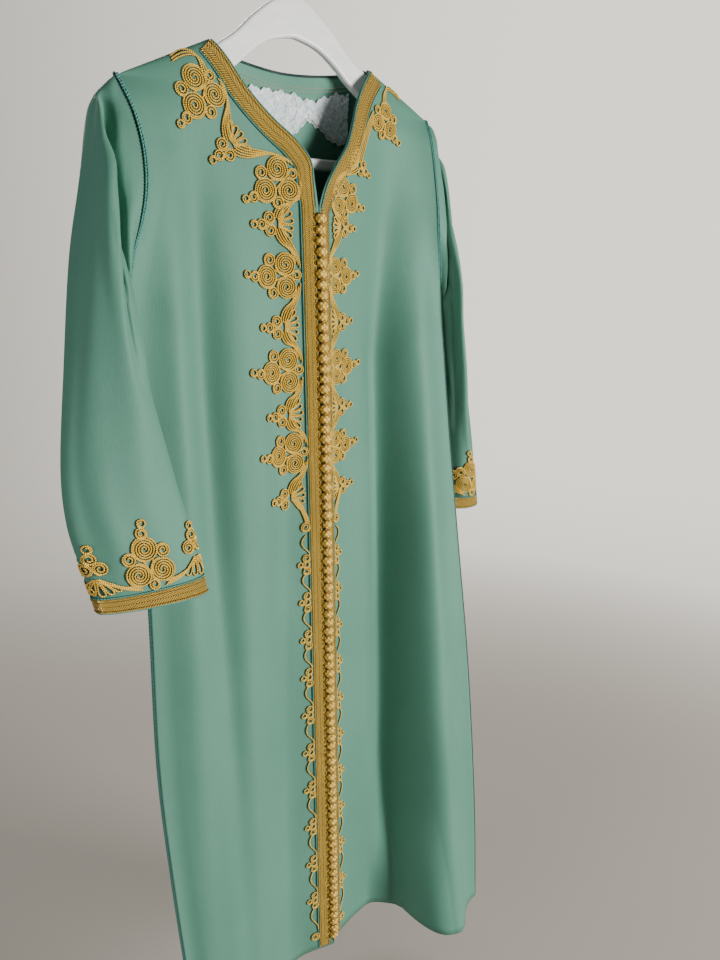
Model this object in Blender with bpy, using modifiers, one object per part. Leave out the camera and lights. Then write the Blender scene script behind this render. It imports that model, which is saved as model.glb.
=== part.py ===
"""Child's Moroccan kaftan hanging on a plastic hanger, one solid for each piece that is cut or sewn on.

Lengths are metres. The garment is laid out with X to the viewer's right, Y to the back and Z up from
the hem, and is then moved so that the inner top of the hanger's hook is the origin.
Right and left in the names are the wearer's: the wearer's right is at -X.

The body's front and back are height fields: functions that give the depth y of the cloth's middle at
each (x, height). All trim that lies on a panel is made from the panel's own points, moved out along
its normal.
"""
import math

import bpy
import numpy as np

# ---------------------------------------------------------------- driving sizes
CLOTH = 0.0015            # wall of the cloth
SEAM_GAP = 0.0003         # clearance between pieces that touch
COLLAR_HALF = 0.084       # half width of the neck at the shoulder line
COLLAR_HEIGHT = 0.920     # height of the neck corners above the hem
SHOULDER_HALF = 0.164     # half width at the shoulder ends
SHOULDER_HEIGHT = 0.884
ARMPIT_HEIGHT = 0.727
RIDGE_Y = 0.023           # depth of the shoulder line
PLACKET_Y = -0.012        # depth of the centre front
PLACKET_TOP = 0.795       # height where the fronts part
BACK_NECK_HEIGHT = 0.910
BACK_NECK_EDGE_RISE = COLLAR_HEIGHT - BACK_NECK_HEIGHT
BRAID_WIDTH = 0.0122
BRAID_THICK = 0.0015
BRAID_INSET = 0.0055      # half width of the strip that the buttons stand on
EMBROIDERY_THICK = 0.0016
CORD_RADIUS = 0.0012
RAISED = CLOTH / 2 + 2 * SEAM_GAP   # inner face of the trim over the middle of the cloth
BUTTON_RADIUS = 0.0041
BUTTON_PITCH = 0.0094
BUTTON_SIDES = 6
ARMHOLE_OPEN = 0.034      # how far the back edge of the armhole stands behind the front edge
HOOK_HEIGHT = 1.045       # inner top of the hook above the hem
HANGER_Y = 0.022
HANGER_THICK = 0.008
HANGER_HALF = 0.146       # half width of the hanger
WIRE_RADIUS = 0.0019
SHOULDER_SLOPE = (COLLAR_HEIGHT - SHOULDER_HEIGHT) / (SHOULDER_HALF - COLLAR_HALF)


def table(columns, *rows):
    """Give each named column of a short table as an array."""
    return dict(zip(columns.split(), np.array(rows, float).T))


# Edge of the fronts from the hem up the side seam and the armhole, wearer's right and left.
SIDE_EDGE = table(
    "height x_right y_right x_left y_left",
    (0.000, -0.184, -0.036, 0.190, -0.058),
    (0.090, -0.187, -0.030, 0.192, -0.052),
    (0.210, -0.190, -0.018, 0.194, -0.040),
    (0.300, -0.190, -0.008, 0.194, -0.030),
    (0.450, -0.183, 0.000, 0.190, -0.012),
    (0.600, -0.176, 0.005, 0.182, 0.002),
    (0.727, -0.175, 0.008, 0.174, 0.008),
    (0.758, -0.170, 0.004, 0.168, 0.004),
    (0.780, -0.163, 0.001, 0.163, 0.001),
    (0.800, -0.158, 0.000, 0.160, 0.000),
    (0.820, -0.156, 0.001, 0.158, 0.001),
    (0.850, -0.158, 0.006, 0.158, 0.006),
    (0.870, -0.162, 0.013, 0.160, 0.013),
    (0.884, -0.164, 0.023, 0.164, 0.023),
)

# Neck edge of the two fronts: the wearer's left front falls open above the top button.
NECK_EDGE = table(
    "height x_right x_left",
    (0.795, -0.0005, 0.0005),
    (0.815, -0.0028, 0.0120),
    (0.836, -0.0065, 0.0300),
    (0.850, -0.0180, 0.0420),
    (0.865, -0.0370, 0.0490),
    (0.888, -0.0600, 0.0580),
    (0.905, -0.0720, 0.0690),
    (0.920, -0.0840, 0.0840),
)

# Long soft folds of the fronts: each steps forward between x_start and x_end (both as shares of the
# run from top to hem), and its depth grows from fold_top down to the hem.
FRONT_FOLDS = table(
    "side fold_top start_top end_top start_hem end_hem depth crest",
    (-1, 0.80, 0.030, 0.085, 0.050, 0.130, 0.036, 0.020),
    (1, 0.76, 0.075, 0.140, 0.100, 0.130, 0.070, 0.008),
)

# Long folds of the back: depth of each soft ridge at the hem, from the wearer's right to left.
BACK_FOLDS = table(
    "x_top x_hem width depth",
    (-0.090, -0.115, 0.036, 0.030),
    (-0.010, -0.020, 0.034, 0.018),
    (0.075, 0.105, 0.040, 0.034),
)

# Sleeves, a row for each ring from armhole to cuff: outer point, inner point, how far the ring bulges
# to the front and back, and how far the front bulge leans away from the body.
SLEEVE_COLUMNS = "x_out y_out z_out x_in y_in z_in front back lean"
SLEEVE_RIGHT = table(
    SLEEVE_COLUMNS,
    (0.1655, 0.023, 0.884, 0.1740, 0.008, 0.727, 0.015, 0.020, 0.00),
    (0.1720, 0.022, 0.877, 0.1775, 0.006, 0.719, 0.014, 0.022, 0.00),
    (0.1815, 0.020, 0.868, 0.1810, 0.002, 0.710, 0.004, 0.024, 0.00),
    (0.1880, 0.012, 0.856, 0.1830, -0.005, 0.697, 0.036, 0.026, 0.30),
    (0.2040, 0.002, 0.805, 0.1810, -0.013, 0.672, 0.036, 0.026, 0.25),
    (0.2190, -0.004, 0.755, 0.1790, -0.020, 0.646, 0.032, 0.024, 0.20),
    (0.2350, -0.012, 0.685, 0.1740, -0.029, 0.612, 0.026, 0.020, 0.15),
    (0.2510, -0.024, 0.610, 0.1690, -0.037, 0.575, 0.020, 0.016, 0.10),
    (0.2550, -0.034, 0.565, 0.1650, -0.042, 0.547, 0.017, 0.014, 0.00),
    (0.2510, -0.044, 0.528, 0.1610, -0.047, 0.518, 0.014, 0.012, 0.00),
    (0.2460, -0.050, 0.499, 0.1570, -0.050, 0.491, 0.012, 0.011, 0.00),
)
SLEEVE_LEFT = table(
    SLEEVE_COLUMNS,
    (0.1655, 0.023, 0.884, 0.1750, 0.008, 0.727, 0.015, 0.020, 0.00),
    (0.1710, 0.024, 0.877, 0.1790, 0.009, 0.719, 0.014, 0.022, 0.00),
    (0.1760, 0.026, 0.866, 0.1820, 0.012, 0.710, 0.008, 0.024, 0.00),
    (0.1800, 0.029, 0.848, 0.1840, 0.018, 0.697, 0.026, 0.027, -0.10),
    (0.1880, 0.034, 0.795, 0.1850, 0.027, 0.672, 0.038, 0.030, 0.00),
    (0.1950, 0.038, 0.740, 0.1865, 0.034, 0.646, 0.044, 0.034, 0.00),
    (0.2110, 0.040, 0.670, 0.1890, 0.037, 0.612, 0.046, 0.038, 0.00),
    (0.2260, 0.041, 0.600, 0.1930, 0.039, 0.575, 0.044, 0.038, 0.00),
    (0.2370, 0.040, 0.552, 0.1980, 0.039, 0.545, 0.041, 0.037, 0.00),
    (0.2460, 0.038, 0.510, 0.2030, 0.037, 0.507, 0.037, 0.035, 0.00),
    (0.2530, 0.036, 0.470, 0.2070, 0.036, 0.470, 0.034, 0.034, 0.00),
)

# Embroidery beside each front edge: height of a motif's tip, how far the tip stands from the middle,
# and half the height that the motif covers.
MOTIFS = table(
    "height reach half_height",
    (0.533, 0.059, 0.017),
    (0.575, 0.067, 0.021),
    (0.613, 0.059, 0.016),
    (0.653, 0.073, 0.022),
    (0.694, 0.061, 0.016),
    (0.738, 0.072, 0.022),
    (0.780, 0.063, 0.016),
    (0.803, 0.068, 0.020),
    (0.833, 0.094, 0.019),
    (0.862, 0.122, 0.024),
    (0.896, 0.120, 0.022),
)
CHAIN_TOP = 0.500
CHAIN_LINKS = 11
CHAIN_FIRST_PITCH = 0.041
CHAIN_LAST_PITCH = 0.051
CHAIN_REACH = 0.0285

# Scalloped plates above each cuff band: where a motif stands round the cuff (0 is the outer edge,
# a quarter is the front), how tall it is, and half its width as a share of the turn.
CUFF_MOTIFS = table(
    "turn height half_width",
    (0.085, 0.034, 0.060),
    (0.250, 0.052, 0.085),
    (0.415, 0.040, 0.060),
    (0.585, 0.034, 0.060),
    (0.750, 0.050, 0.085),
    (0.915, 0.034, 0.060),
)
CUFF_BAND = 0.0125
SLEEVE_LENGTH = 0.415
CORD_CLEARANCE = 0.0018   # how far a seam cord stands off the cloth beyond the other trim

COLOURS = {
    "green_crepe": ((0.135, 0.262, 0.208), 0.62),
    "gold_braid": ((0.46, 0.27, 0.075), 0.50),
    "gold_cord": ((0.56, 0.33, 0.09), 0.45),
    "teal_cord": ((0.030, 0.155, 0.125), 0.60),
    "white_backing": ((0.62, 0.70, 0.74), 0.80),
    "white_plastic": ((0.80, 0.80, 0.80), 0.35),
    "steel_wire": ((0.62, 0.62, 0.64), 0.25),
}


# ---------------------------------------------------------------- curves and fields
def through(heights, values, at):
    """Smooth curve through the rows: a cubic between neighbours, with the slope of their neighbours."""
    at = np.clip(np.asarray(at, float), heights[0], heights[-1])
    slope = np.gradient(values, heights)
    low = np.clip(np.searchsorted(heights, at, side="right") - 1, 0, len(heights) - 2)
    span = heights[low + 1] - heights[low]
    s = (at - heights[low]) / span
    return ((1 + 2 * s) * (1 - s) ** 2 * values[low] + s * (1 - s) ** 2 * span * slope[low]
            + s * s * (3 - 2 * s) * values[low + 1] + s * s * (s - 1) * span * slope[low + 1])


def side_edge(axis, side, height):
    """Coordinate of the side edge at a height; side is -1 for the wearer's right, 1 for the left."""
    column = axis + ("_right" if side < 0 else "_left")
    return through(SIDE_EDGE["height"], SIDE_EDGE[column], height)


def neck_edge(side, height):
    """X of the cloth's edge at the centre front and neck."""
    column = "x_right" if side < 0 else "x_left"
    above = through(NECK_EDGE["height"], NECK_EDGE[column], height)
    return np.where(np.asarray(height) < PLACKET_TOP, side * 0.0005, above)


def ease(start, end, value):
    """0 before start, 1 after end, and a smooth S between."""
    s = np.clip((np.asarray(value, float) - start) / (end - start), 0, 1)
    return s * s * (3 - 2 * s)


def shoulder_drop(x, z):
    """Height of the shoulder line over a point of the body."""
    return np.maximum(COLLAR_HEIGHT - SHOULDER_SLOPE * (np.abs(x) - COLLAR_HALF) - z, 0)


def to_side_seam(x, z, depth, seam_extra=0.0):
    """Bring a depth field to the side edge, rounding over the last part of the width."""
    left = x >= 0
    edge_x = np.where(left, side_edge("x", 1, z), side_edge("x", -1, z))
    edge_y = np.where(left, side_edge("y", 1, z), side_edge("y", -1, z)) + seam_extra
    share = np.clip(np.abs(x) / np.abs(edge_x), 0, 1) ** 7
    return depth * (1 - share) + edge_y * share


def front_y(x, z):
    """Depth of the fronts: a low roof with its ridge on the placket, long folds near the sides, and
    a rounded top that runs back to the shoulder line."""
    x, z = np.broadcast_arrays(np.asarray(x, float), np.asarray(z, float))
    flat = PLACKET_Y + 0.020 * (1 - np.exp(-np.abs(x) / 0.05))
    for i in range(len(FRONT_FOLDS["side"])):
        fold = {name: column[i] for name, column in FRONT_FOLDS.items()}
        fall = np.clip(1 - z / fold["fold_top"], 0, 1)
        start = fold["start_top"] + (fold["start_hem"] - fold["start_top"]) * fall
        end = fold["end_top"] + (fold["end_hem"] - fold["end_top"]) * fall
        across = x * fold["side"]
        flat = flat - fold["depth"] * fall ** 1.3 * ease(start, end, across)
        flat = flat - fold["crest"] * fall ** 0.8 * np.exp(-((across - end) / 0.035) ** 2)
    curve = 1 - np.exp(-np.sqrt(shoulder_drop(x, z) / 0.020))
    return to_side_seam(x, z, RIDGE_Y + (flat - RIDGE_Y) * curve)


def back_y(x, z):
    """Depth of the back: hangs free of the shoulder line and fills out towards the hem."""
    x, z = np.broadcast_arrays(np.asarray(x, float), np.asarray(z, float))
    fall = np.clip(1 - z / ARMPIT_HEIGHT, 0, 1)
    flat = (0.042 + 0.030 * ease(0.0, 1.0, fall)) * (1 - 0.30 * (np.abs(x) / 0.19) ** 2)
    for i in range(len(BACK_FOLDS["depth"])):
        middle = BACK_FOLDS["x_top"][i] + (BACK_FOLDS["x_hem"][i] - BACK_FOLDS["x_top"][i]) * fall
        flat = flat + BACK_FOLDS["depth"][i] * fall ** 1.2 * np.exp(-((x - middle) / BACK_FOLDS["width"][i]) ** 2)
    curve = 1 - np.exp(-np.sqrt(shoulder_drop(x, z) / 0.024))
    arm = np.clip((z - ARMPIT_HEIGHT) / (SHOULDER_HEIGHT - ARMPIT_HEIGHT), 0, 1)
    return to_side_seam(x, z, RIDGE_Y + (flat - RIDGE_Y) * curve, ARMHOLE_OPEN * np.sin(np.pi * arm) ** 0.8)


def unit(vectors):
    return vectors / np.linalg.norm(vectors, axis=-1, keepdims=True)


def over_panel(grid, x, z, distance):
    """Points on a body panel at (x, z), found in the panel's own triangles, moved back along the
    panel's smoothed normal by a distance, or forward if it is negative."""
    x, z = np.broadcast_arrays(np.asarray(x, float), np.asarray(z, float))
    across = np.gradient(grid, axis=1)
    along = np.gradient(grid, axis=0)
    normals = unit(np.cross(across, along))
    normals *= np.sign(np.mean(normals[..., 1]))
    corner = [(grid[:-1, :-1], normals[:-1, :-1]), (grid[:-1, 1:], normals[:-1, 1:]),
              (grid[1:, 1:], normals[1:, 1:]), (grid[1:, :-1], normals[1:, :-1])]
    triangles = [[part.reshape(-1, 3) for part in corner[i]] for i in (0, 1, 2)]
    others = [[part.reshape(-1, 3) for part in corner[i]] for i in (0, 2, 3)]
    point = [np.concatenate([triangles[i][0], others[i][0]]) for i in range(3)]
    normal = [np.concatenate([triangles[i][1], others[i][1]]) for i in range(3)]
    a, b, c = (corner_points[:, [0, 2]] for corner_points in point)
    query = np.stack([x.ravel(), z.ravel()], -1)[:, None, :]
    area = (b - a)[:, 0] * (c - a)[:, 1] - (b - a)[:, 1] * (c - a)[:, 0]
    share_b = ((query - a)[..., 0] * (c - a)[:, 1] - (query - a)[..., 1] * (c - a)[:, 0]) / area
    share_c = ((b - a)[:, 0] * (query - a)[..., 1] - (b - a)[:, 1] * (query - a)[..., 0]) / area
    shares = np.stack([1 - share_b - share_c, share_b, share_c], -1)
    best = np.argmax(shares.min(-1), axis=1)
    weight = np.take_along_axis(shares, best[:, None, None], axis=1)[:, 0, :, None]
    found = sum(weight[:, i] * point[i][best] for i in range(3))
    out = unit(sum(weight[:, i] * normal[i][best] for i in range(3)))
    return (found + out * distance).reshape(*x.shape, 3)


def droop_of_hem(x):
    """The hem hangs level at the middle and droops over the side folds."""
    return -0.018 * ease(0.060, 0.135, np.abs(x))


# ---------------------------------------------------------------- building blocks
def clear_scene():
    for old in list(bpy.data.objects):
        bpy.data.objects.remove(old, do_unlink=True)


def material(name):
    colour, roughness = COLOURS[name]
    made = bpy.data.materials.get(name)
    if made is None:
        made = bpy.data.materials.new(name)
        made.use_nodes = True
        shader = made.node_tree.nodes["Principled BSDF"]
        shader.inputs["Base Color"].default_value = (*colour, 1.0)
        shader.inputs["Roughness"].default_value = roughness
        shader.inputs["Metallic"].default_value = 1.0 if name == "steel_wire" else 0.0
    return made


def add_object(name, data, material_name, holder):
    made = bpy.data.objects.new(name, data)
    data.materials.append(material(material_name))
    holder["collection"].objects.link(made)
    made.parent = holder["hook_point"]
    return made


def sheet(name, grid, thickness, material_name, holder, ring=False):
    """A loft through the rows of a grid of points, made solid about its middle. With ring, the last
    column joins the first."""
    rows, columns = grid.shape[:2]
    mesh = bpy.data.meshes.new(name)
    last = columns if ring else columns - 1
    faces = [(r * columns + c, r * columns + (c + 1) % columns,
              (r + 1) * columns + (c + 1) % columns, (r + 1) * columns + c)
             for r in range(rows - 1) for c in range(last)]
    mesh.from_pydata(grid.reshape(-1, 3).tolist(), [], faces)
    made = add_object(name, mesh, material_name, holder)
    wall = made.modifiers.new("wall", "SOLIDIFY")
    wall.thickness = thickness
    wall.offset = 0.0
    mesh.shade_smooth()
    return made


def tube(name, points, radius, material_name, holder, closed=False, resolution=1):
    """A round cord or wire along a list of points."""
    curve = bpy.data.curves.new(name, "CURVE")
    curve.dimensions = "3D"
    curve.bevel_depth = radius
    curve.bevel_resolution = resolution
    curve.use_fill_caps = not closed
    line = curve.splines.new("POLY")
    line.points.add(len(points) - 1)
    for slot, point in zip(line.points, points):
        slot.co = (*point, 1.0)
    line.use_cyclic_u = closed
    return add_object(name, curve, material_name, holder)


# ---------------------------------------------------------------- cloth
def body_heights(top_rows=9, body_rows=13):
    """Shares of the way up a panel: even to the armpit, then closer together towards the shoulder."""
    lower = np.linspace(0.0, 0.8, body_rows, endpoint=False)
    upper = 1 - 0.2 * np.linspace(1.0, 0.0, top_rows) ** 1.9
    return np.concatenate([lower, upper])


def front_grid(side):
    """Columns run from the centre front and neck edge to the side seam and armhole."""
    share = body_heights()
    outer_z = np.interp(share, (0, 0.8, 1), (0, ARMPIT_HEIGHT, SHOULDER_HEIGHT))
    inner_z = np.interp(share, (0, 0.8, 1), (0, PLACKET_TOP, COLLAR_HEIGHT))
    outer_x = side_edge("x", side, outer_z)
    inner_x = neck_edge(side, inner_z)
    across = np.array([0, 0.05, 0.13, 0.25, 0.38, 0.50, 0.60, 0.69, 0.78, 0.87, 0.94, 1.0])
    x = inner_x[:, None] * (1 - across) + outer_x[:, None] * across
    z = inner_z[:, None] * (1 - across) + outer_z[:, None] * across
    y = front_y(x, z) - seam_parting(across, share)
    z = z + droop_of_hem(x) * (1 - share[:, None]) ** 2
    return np.stack([x, y, z], -1)


def seam_parting(across, share):
    """Half of the clearance between front and back, wanted only where the two meet."""
    at_side = (across ** 12)[None, :] * np.ones(len(share))[:, None]
    at_top = (share ** 60)[:, None] * np.ones(len(across))[None, :]
    return 0.0009 * np.maximum(at_side, at_top)


def back_neck_height(x):
    return BACK_NECK_HEIGHT + BACK_NECK_EDGE_RISE * np.clip(np.abs(x) / COLLAR_HALF, 0, 1) ** 2


def back_grid():
    """Columns run from armhole to armhole; the top row follows shoulder, neck and shoulder."""
    share = body_heights()[:, None]
    half = np.array([0, 0.15, 0.30, 0.42, 0.513, 0.62, 0.75, 0.88, 1.0])
    across = np.concatenate([-half[:0:-1], half])[None, :]
    top_x = across * SHOULDER_HALF
    top_z = np.where(np.abs(top_x) < COLLAR_HALF + 0.0005, back_neck_height(top_x),
                     COLLAR_HEIGHT - SHOULDER_SLOPE * (np.abs(top_x) - COLLAR_HALF))
    edge_z = np.interp(share, (0, 0.8, 1), (0, ARMPIT_HEIGHT, SHOULDER_HEIGHT))
    armpit_z = ARMPIT_HEIGHT + (top_z - ARMPIT_HEIGHT) * 0.20 * (1 - np.abs(across) ** 3)
    z = np.where(share < 0.8, armpit_z * share / 0.8, armpit_z + (top_z - armpit_z) * (share - 0.8) / 0.2)
    edge_x = np.where(across < 0, -side_edge("x", -1, edge_z), side_edge("x", 1, edge_z))
    narrow = np.clip(share, 0, 1) ** 8
    x = across * (edge_x * (1 - narrow) + np.where(np.abs(across) > 0.99, edge_x, SHOULDER_HALF) * narrow)
    y = back_y(x, z) + seam_parting(np.abs(across[0]), share[:, 0])
    z = z + droop_of_hem(x) * (1 - share) ** 2
    return np.stack([x, y, z], -1)


def armhole_ring(side, turns):
    """Closed line of the armhole: turn 0 is the shoulder, a quarter the front, a half the armpit."""
    down = (1 - np.cos(2 * np.pi * turns)) / 2
    z = SHOULDER_HEIGHT + (ARMPIT_HEIGHT - SHOULDER_HEIGHT) * down
    arm = (z - ARMPIT_HEIGHT) / (SHOULDER_HEIGHT - ARMPIT_HEIGHT)
    y = side_edge("y", side, z) + np.where(turns > 0.5, ARMHOLE_OPEN * np.sin(np.pi * arm) ** 0.8, 0)
    return np.stack([side_edge("x", side, z), y, z], -1)


def sleeve_rings(side, turns):
    """The rings of the sleeve's table as points; each is a flattened loop between its outer and inner
    point that bulges to the front and back."""
    rows = SLEEVE_RIGHT if side < 0 else SLEEVE_LEFT
    rings = []
    for i in range(len(rows["x_out"])):
        ring = {name: column[i] for name, column in rows.items()}
        outer = np.array([side * ring["x_out"], ring["y_out"], ring["z_out"]])
        inner = np.array([side * ring["x_in"], ring["y_in"], ring["z_in"]])
        bulge = np.sin(2 * np.pi * turns)
        amount = np.sign(bulge) * np.abs(bulge) ** 0.75 * np.where(bulge > 0, ring["front"], ring["back"])
        aside = np.where(bulge > 0, ring["lean"], -0.15) * side
        loop = (outer + inner) / 2 + np.cos(2 * np.pi * turns)[:, None] * (outer - inner) / 2
        loop = loop + np.stack([aside * amount, -amount, 0 * amount], -1)
        rings.append(loop)
    rings[0] = armhole_ring(side, turns) + np.array([side * 0.0009, 0, 0])
    return np.array(rings)


def sleeve_points(side, turns, along):
    """Points of the sleeve: turns round it, along from 0 at the armhole to 1 at the cuff."""
    rings = sleeve_rings(side, turns)
    stations = np.linspace(0, 1, len(rings))
    flat = rings.reshape(len(rings), -1)
    points = np.stack([through(stations, column, along) for column in flat.T], -1)
    return points.reshape(len(along), len(turns), 3)


def sleeve_lift(side, turns, along, distance):
    """Sleeve points moved out from the middle of the wall."""
    step = 1e-3
    here = sleeve_points(side, turns, along)
    round_it = sleeve_points(side, turns + step, along) - sleeve_points(side, turns - step, along)
    down_it = sleeve_points(side, turns, along + step) - sleeve_points(side, turns, along - step)
    normal = np.cross(round_it, down_it) * side
    normal /= np.linalg.norm(normal, axis=-1, keepdims=True)
    return here + normal * distance


SLEEVE_TURNS = np.arange(22) / 22
SLEEVE_ROWS = np.array([0, 0.05, 0.1, 0.15, 0.2, 0.25, 0.3, 0.36, 0.42, 0.5, 0.58, 0.66, 0.74, 0.82, 0.91, 1.0])


def sleeve(side, holder):
    name = "sleeve_right" if side < 0 else "sleeve_left"
    sheet(name, sleeve_points(side, SLEEVE_TURNS, SLEEVE_ROWS), CLOTH, "green_crepe", holder, ring=True)


# ---------------------------------------------------------------- trim
def edge_line(side, heights):
    """Points (x, z) of a front's edge and the unit direction from it into the cloth."""
    x = neck_edge(side, heights)
    line = np.stack([x, heights], -1)
    along = np.gradient(line, axis=0)
    along /= np.linalg.norm(along, axis=-1, keepdims=True)
    into = np.stack([side * along[:, 1], -side * along[:, 0]], -1)
    return line, into


BRAID_HEIGHTS = np.concatenate([np.linspace(0.004, 0.770, 22), np.linspace(0.790, 0.909, 20)])


def smooth_rows(values, passes):
    """Average each row with its neighbours, holding the ends."""
    for _ in range(passes):
        values[1:-1] = (values[:-2] + 2 * values[1:-1] + values[2:]) / 4
    return values


def front_braid(side, panel, holder):
    """Flat braid along the front edge and neck, on the outer face of the cloth."""
    line, into = edge_line(side, BRAID_HEIGHTS)
    into = smooth_rows(into, 3)
    into /= np.linalg.norm(into, axis=-1, keepdims=True)
    inset = np.where(BRAID_HEIGHTS < PLACKET_TOP, BRAID_INSET, 0.0016 + 0.0039 * ease(0.830, 0.795, BRAID_HEIGHTS))
    steps = (inset[:, None] + np.array([0, 1.0]) * BRAID_WIDTH)[..., None]
    flat = line[:, None, :] + into[:, None, :] * steps
    grid = over_panel(panel, flat[..., 0], flat[..., 1], -RAISED - BRAID_THICK / 2)
    name = "braid_front_right" if side < 0 else "braid_front_left"
    sheet(name, grid, BRAID_THICK, "gold_braid", holder)


def back_neck_braid(panel, holder):
    """Braid across the outside of the back neck."""
    x = np.linspace(-0.068, 0.068, 20)
    down = 0.0015 + np.array([0, 1.0]) * BRAID_WIDTH
    z = back_neck_height(x)[:, None] - down
    grid = over_panel(panel, x[:, None] + 0 * z, z, RAISED + BRAID_THICK / 2)
    sheet("braid_back_neck", grid, BRAID_THICK, "gold_braid", holder)


def chain_heights():
    """Height of each link of the chain that runs down from the last motif, further apart lower down."""
    pitch = np.linspace(CHAIN_FIRST_PITCH, CHAIN_LAST_PITCH, CHAIN_LINKS - 1)
    return CHAIN_TOP - np.concatenate([[0], np.cumsum(pitch)])


def embroidery_reach(heights):
    """How far the embroidery stands out from the middle at each height: a pointed hump for each motif
    over a narrow stem, and a low one for each link of the chain."""
    reach = np.full(heights.shape, 0.0225)
    for height, tip, half in zip(MOTIFS["height"], MOTIFS["reach"], MOTIFS["half_height"]):
        near = np.clip(1 - np.abs(heights - height) / half, 0, 1)
        stem = 0.026 + 0.75 * np.maximum(heights - 0.80, 0)
        reach = np.maximum(reach, np.where(near > 0, stem + (tip - stem) * near ** 0.9, 0))
    for height in chain_heights():
        near = np.clip(1 - np.abs(heights - height) / 0.017, 0, 1)
        reach = np.maximum(reach, 0.0225 + (CHAIN_REACH - 0.0225) * near)
    return reach


def front_embroidery(side, panel, holder):
    """A thin plate beside the braid whose outer edge follows the motifs."""
    heights = np.concatenate([np.linspace(0.008, 0.508, 44), np.linspace(0.515, 0.899, 60)])
    line, into = edge_line(side, heights)
    inner = np.abs(line[:, 0]) + BRAID_INSET + BRAID_WIDTH + 0.0010
    slant = 1 / np.maximum(np.abs(into[:, 0]), 0.35)
    above = heights > PLACKET_TOP
    inner = np.where(above, np.abs(line[:, 0]) + (BRAID_WIDTH + 0.0050) * smooth_rows(slant, 6), inner)
    inner = smooth_rows(inner, 3)
    shoulder_x = COLLAR_HALF + (COLLAR_HEIGHT - heights) / SHOULDER_SLOPE
    outer = np.maximum(np.minimum(embroidery_reach(heights), shoulder_x - 0.020), inner + 0.0035)
    across = np.array([0, 0.5, 1.0])
    x = side * (inner[:, None] * (1 - across) + outer[:, None] * across)
    z = heights[:, None] + 0 * x
    grid = over_panel(panel, x, z, -RAISED - EMBROIDERY_THICK / 2)
    name = "embroidery_front_right" if side < 0 else "embroidery_front_left"
    sheet(name, grid, EMBROIDERY_THICK, "gold_cord", holder)


def back_lobes(x):
    """Depth below the back neck of the embroidered lobes: one each side of a shallow middle dip."""
    return 0.030 + 0.026 * np.exp(-((np.abs(x) - 0.030) / 0.018) ** 2) - 0.012 * ease(0.045, 0.066, np.abs(x))


def back_neck_plate(name, panel, outward, top_gap, thickness, material_name, holder):
    """The embroidery outside the back neck, or the white backing inside it."""
    x = np.linspace(-0.062, 0.062, 22)
    share = np.array([0, 0.5, 1.0])
    z = back_neck_height(x)[:, None] - (top_gap * (1 - share) + back_lobes(x)[:, None] * share)
    grid = over_panel(panel, x[:, None] + 0 * z, z, outward * (RAISED + thickness / 2))
    sheet(name, grid, thickness, material_name, holder)


def cuff_trim(side, holder):
    """A band round the cuff and a scalloped plate of embroidery above it."""
    tag = "right" if side < 0 else "left"
    turns = np.arange(32) / 32
    band_rows = 1 - np.array([1.0, 0.0]) * CUFF_BAND / SLEEVE_LENGTH * 1.02
    raised = RAISED + BRAID_THICK / 2 + 0.0003
    sheet("cuff_braid_" + tag, sleeve_lift(side, turns, band_rows, raised), BRAID_THICK, "gold_braid", holder, ring=True)
    turns = np.arange(40) / 40
    tall = np.full(turns.shape, 0.010)
    for turn, height, half in zip(*CUFF_MOTIFS.values()):
        near = np.clip(1 - np.abs((turns - turn + 0.5) % 1 - 0.5) / half, 0, 1)
        tall = np.maximum(tall, 0.012 + (height - 0.012) * near * (near > 0))
    base = CUFF_BAND + 0.0022
    plate = np.empty((3, len(turns), 3))
    for row, share in enumerate((1.0, 0.5, 0.0)):
        for i, turn in enumerate(turns):
            along = 1 - (base + tall[i] * share) / SLEEVE_LENGTH
            plate[row, i] = sleeve_lift(side, np.array([turn]), np.array([along]), raised)[0, 0]
    sheet("cuff_embroidery_" + tag, plate, EMBROIDERY_THICK, "gold_cord", holder, ring=True)


def seam_cords(side, holder):
    """Round cords sewn over the armhole seam and the side seam."""
    tag = "right" if side < 0 else "left"
    off = RAISED + CORD_RADIUS
    turns = (0.5 + np.linspace(0.12, 0.88, 26)) % 1
    ring = armhole_ring(side, turns)
    tangent = np.gradient(ring, axis=0)
    out = np.stack([0 * turns, -tangent[:, 2], tangent[:, 1]], -1)
    out /= np.linalg.norm(out, axis=-1, keepdims=True)
    away = np.sign(np.sum(out * (ring - np.array([0, 0.018, 0.805])), -1, keepdims=True))
    tube("armhole_cord_" + tag, ring + out * away * (off + CORD_CLEARANCE), CORD_RADIUS, "teal_cord", holder)
    z = np.linspace(0.004, 0.690, 22)
    x = side_edge("x", side, z) + side * (CORD_RADIUS + 0.0010)
    drop = droop_of_hem(x) * (1 - z / COLLAR_HEIGHT) ** 2
    tube("side_cord_" + tag, np.stack([x, side_edge("y", side, z), z + drop], -1), CORD_RADIUS, "teal_cord", holder)


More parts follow.
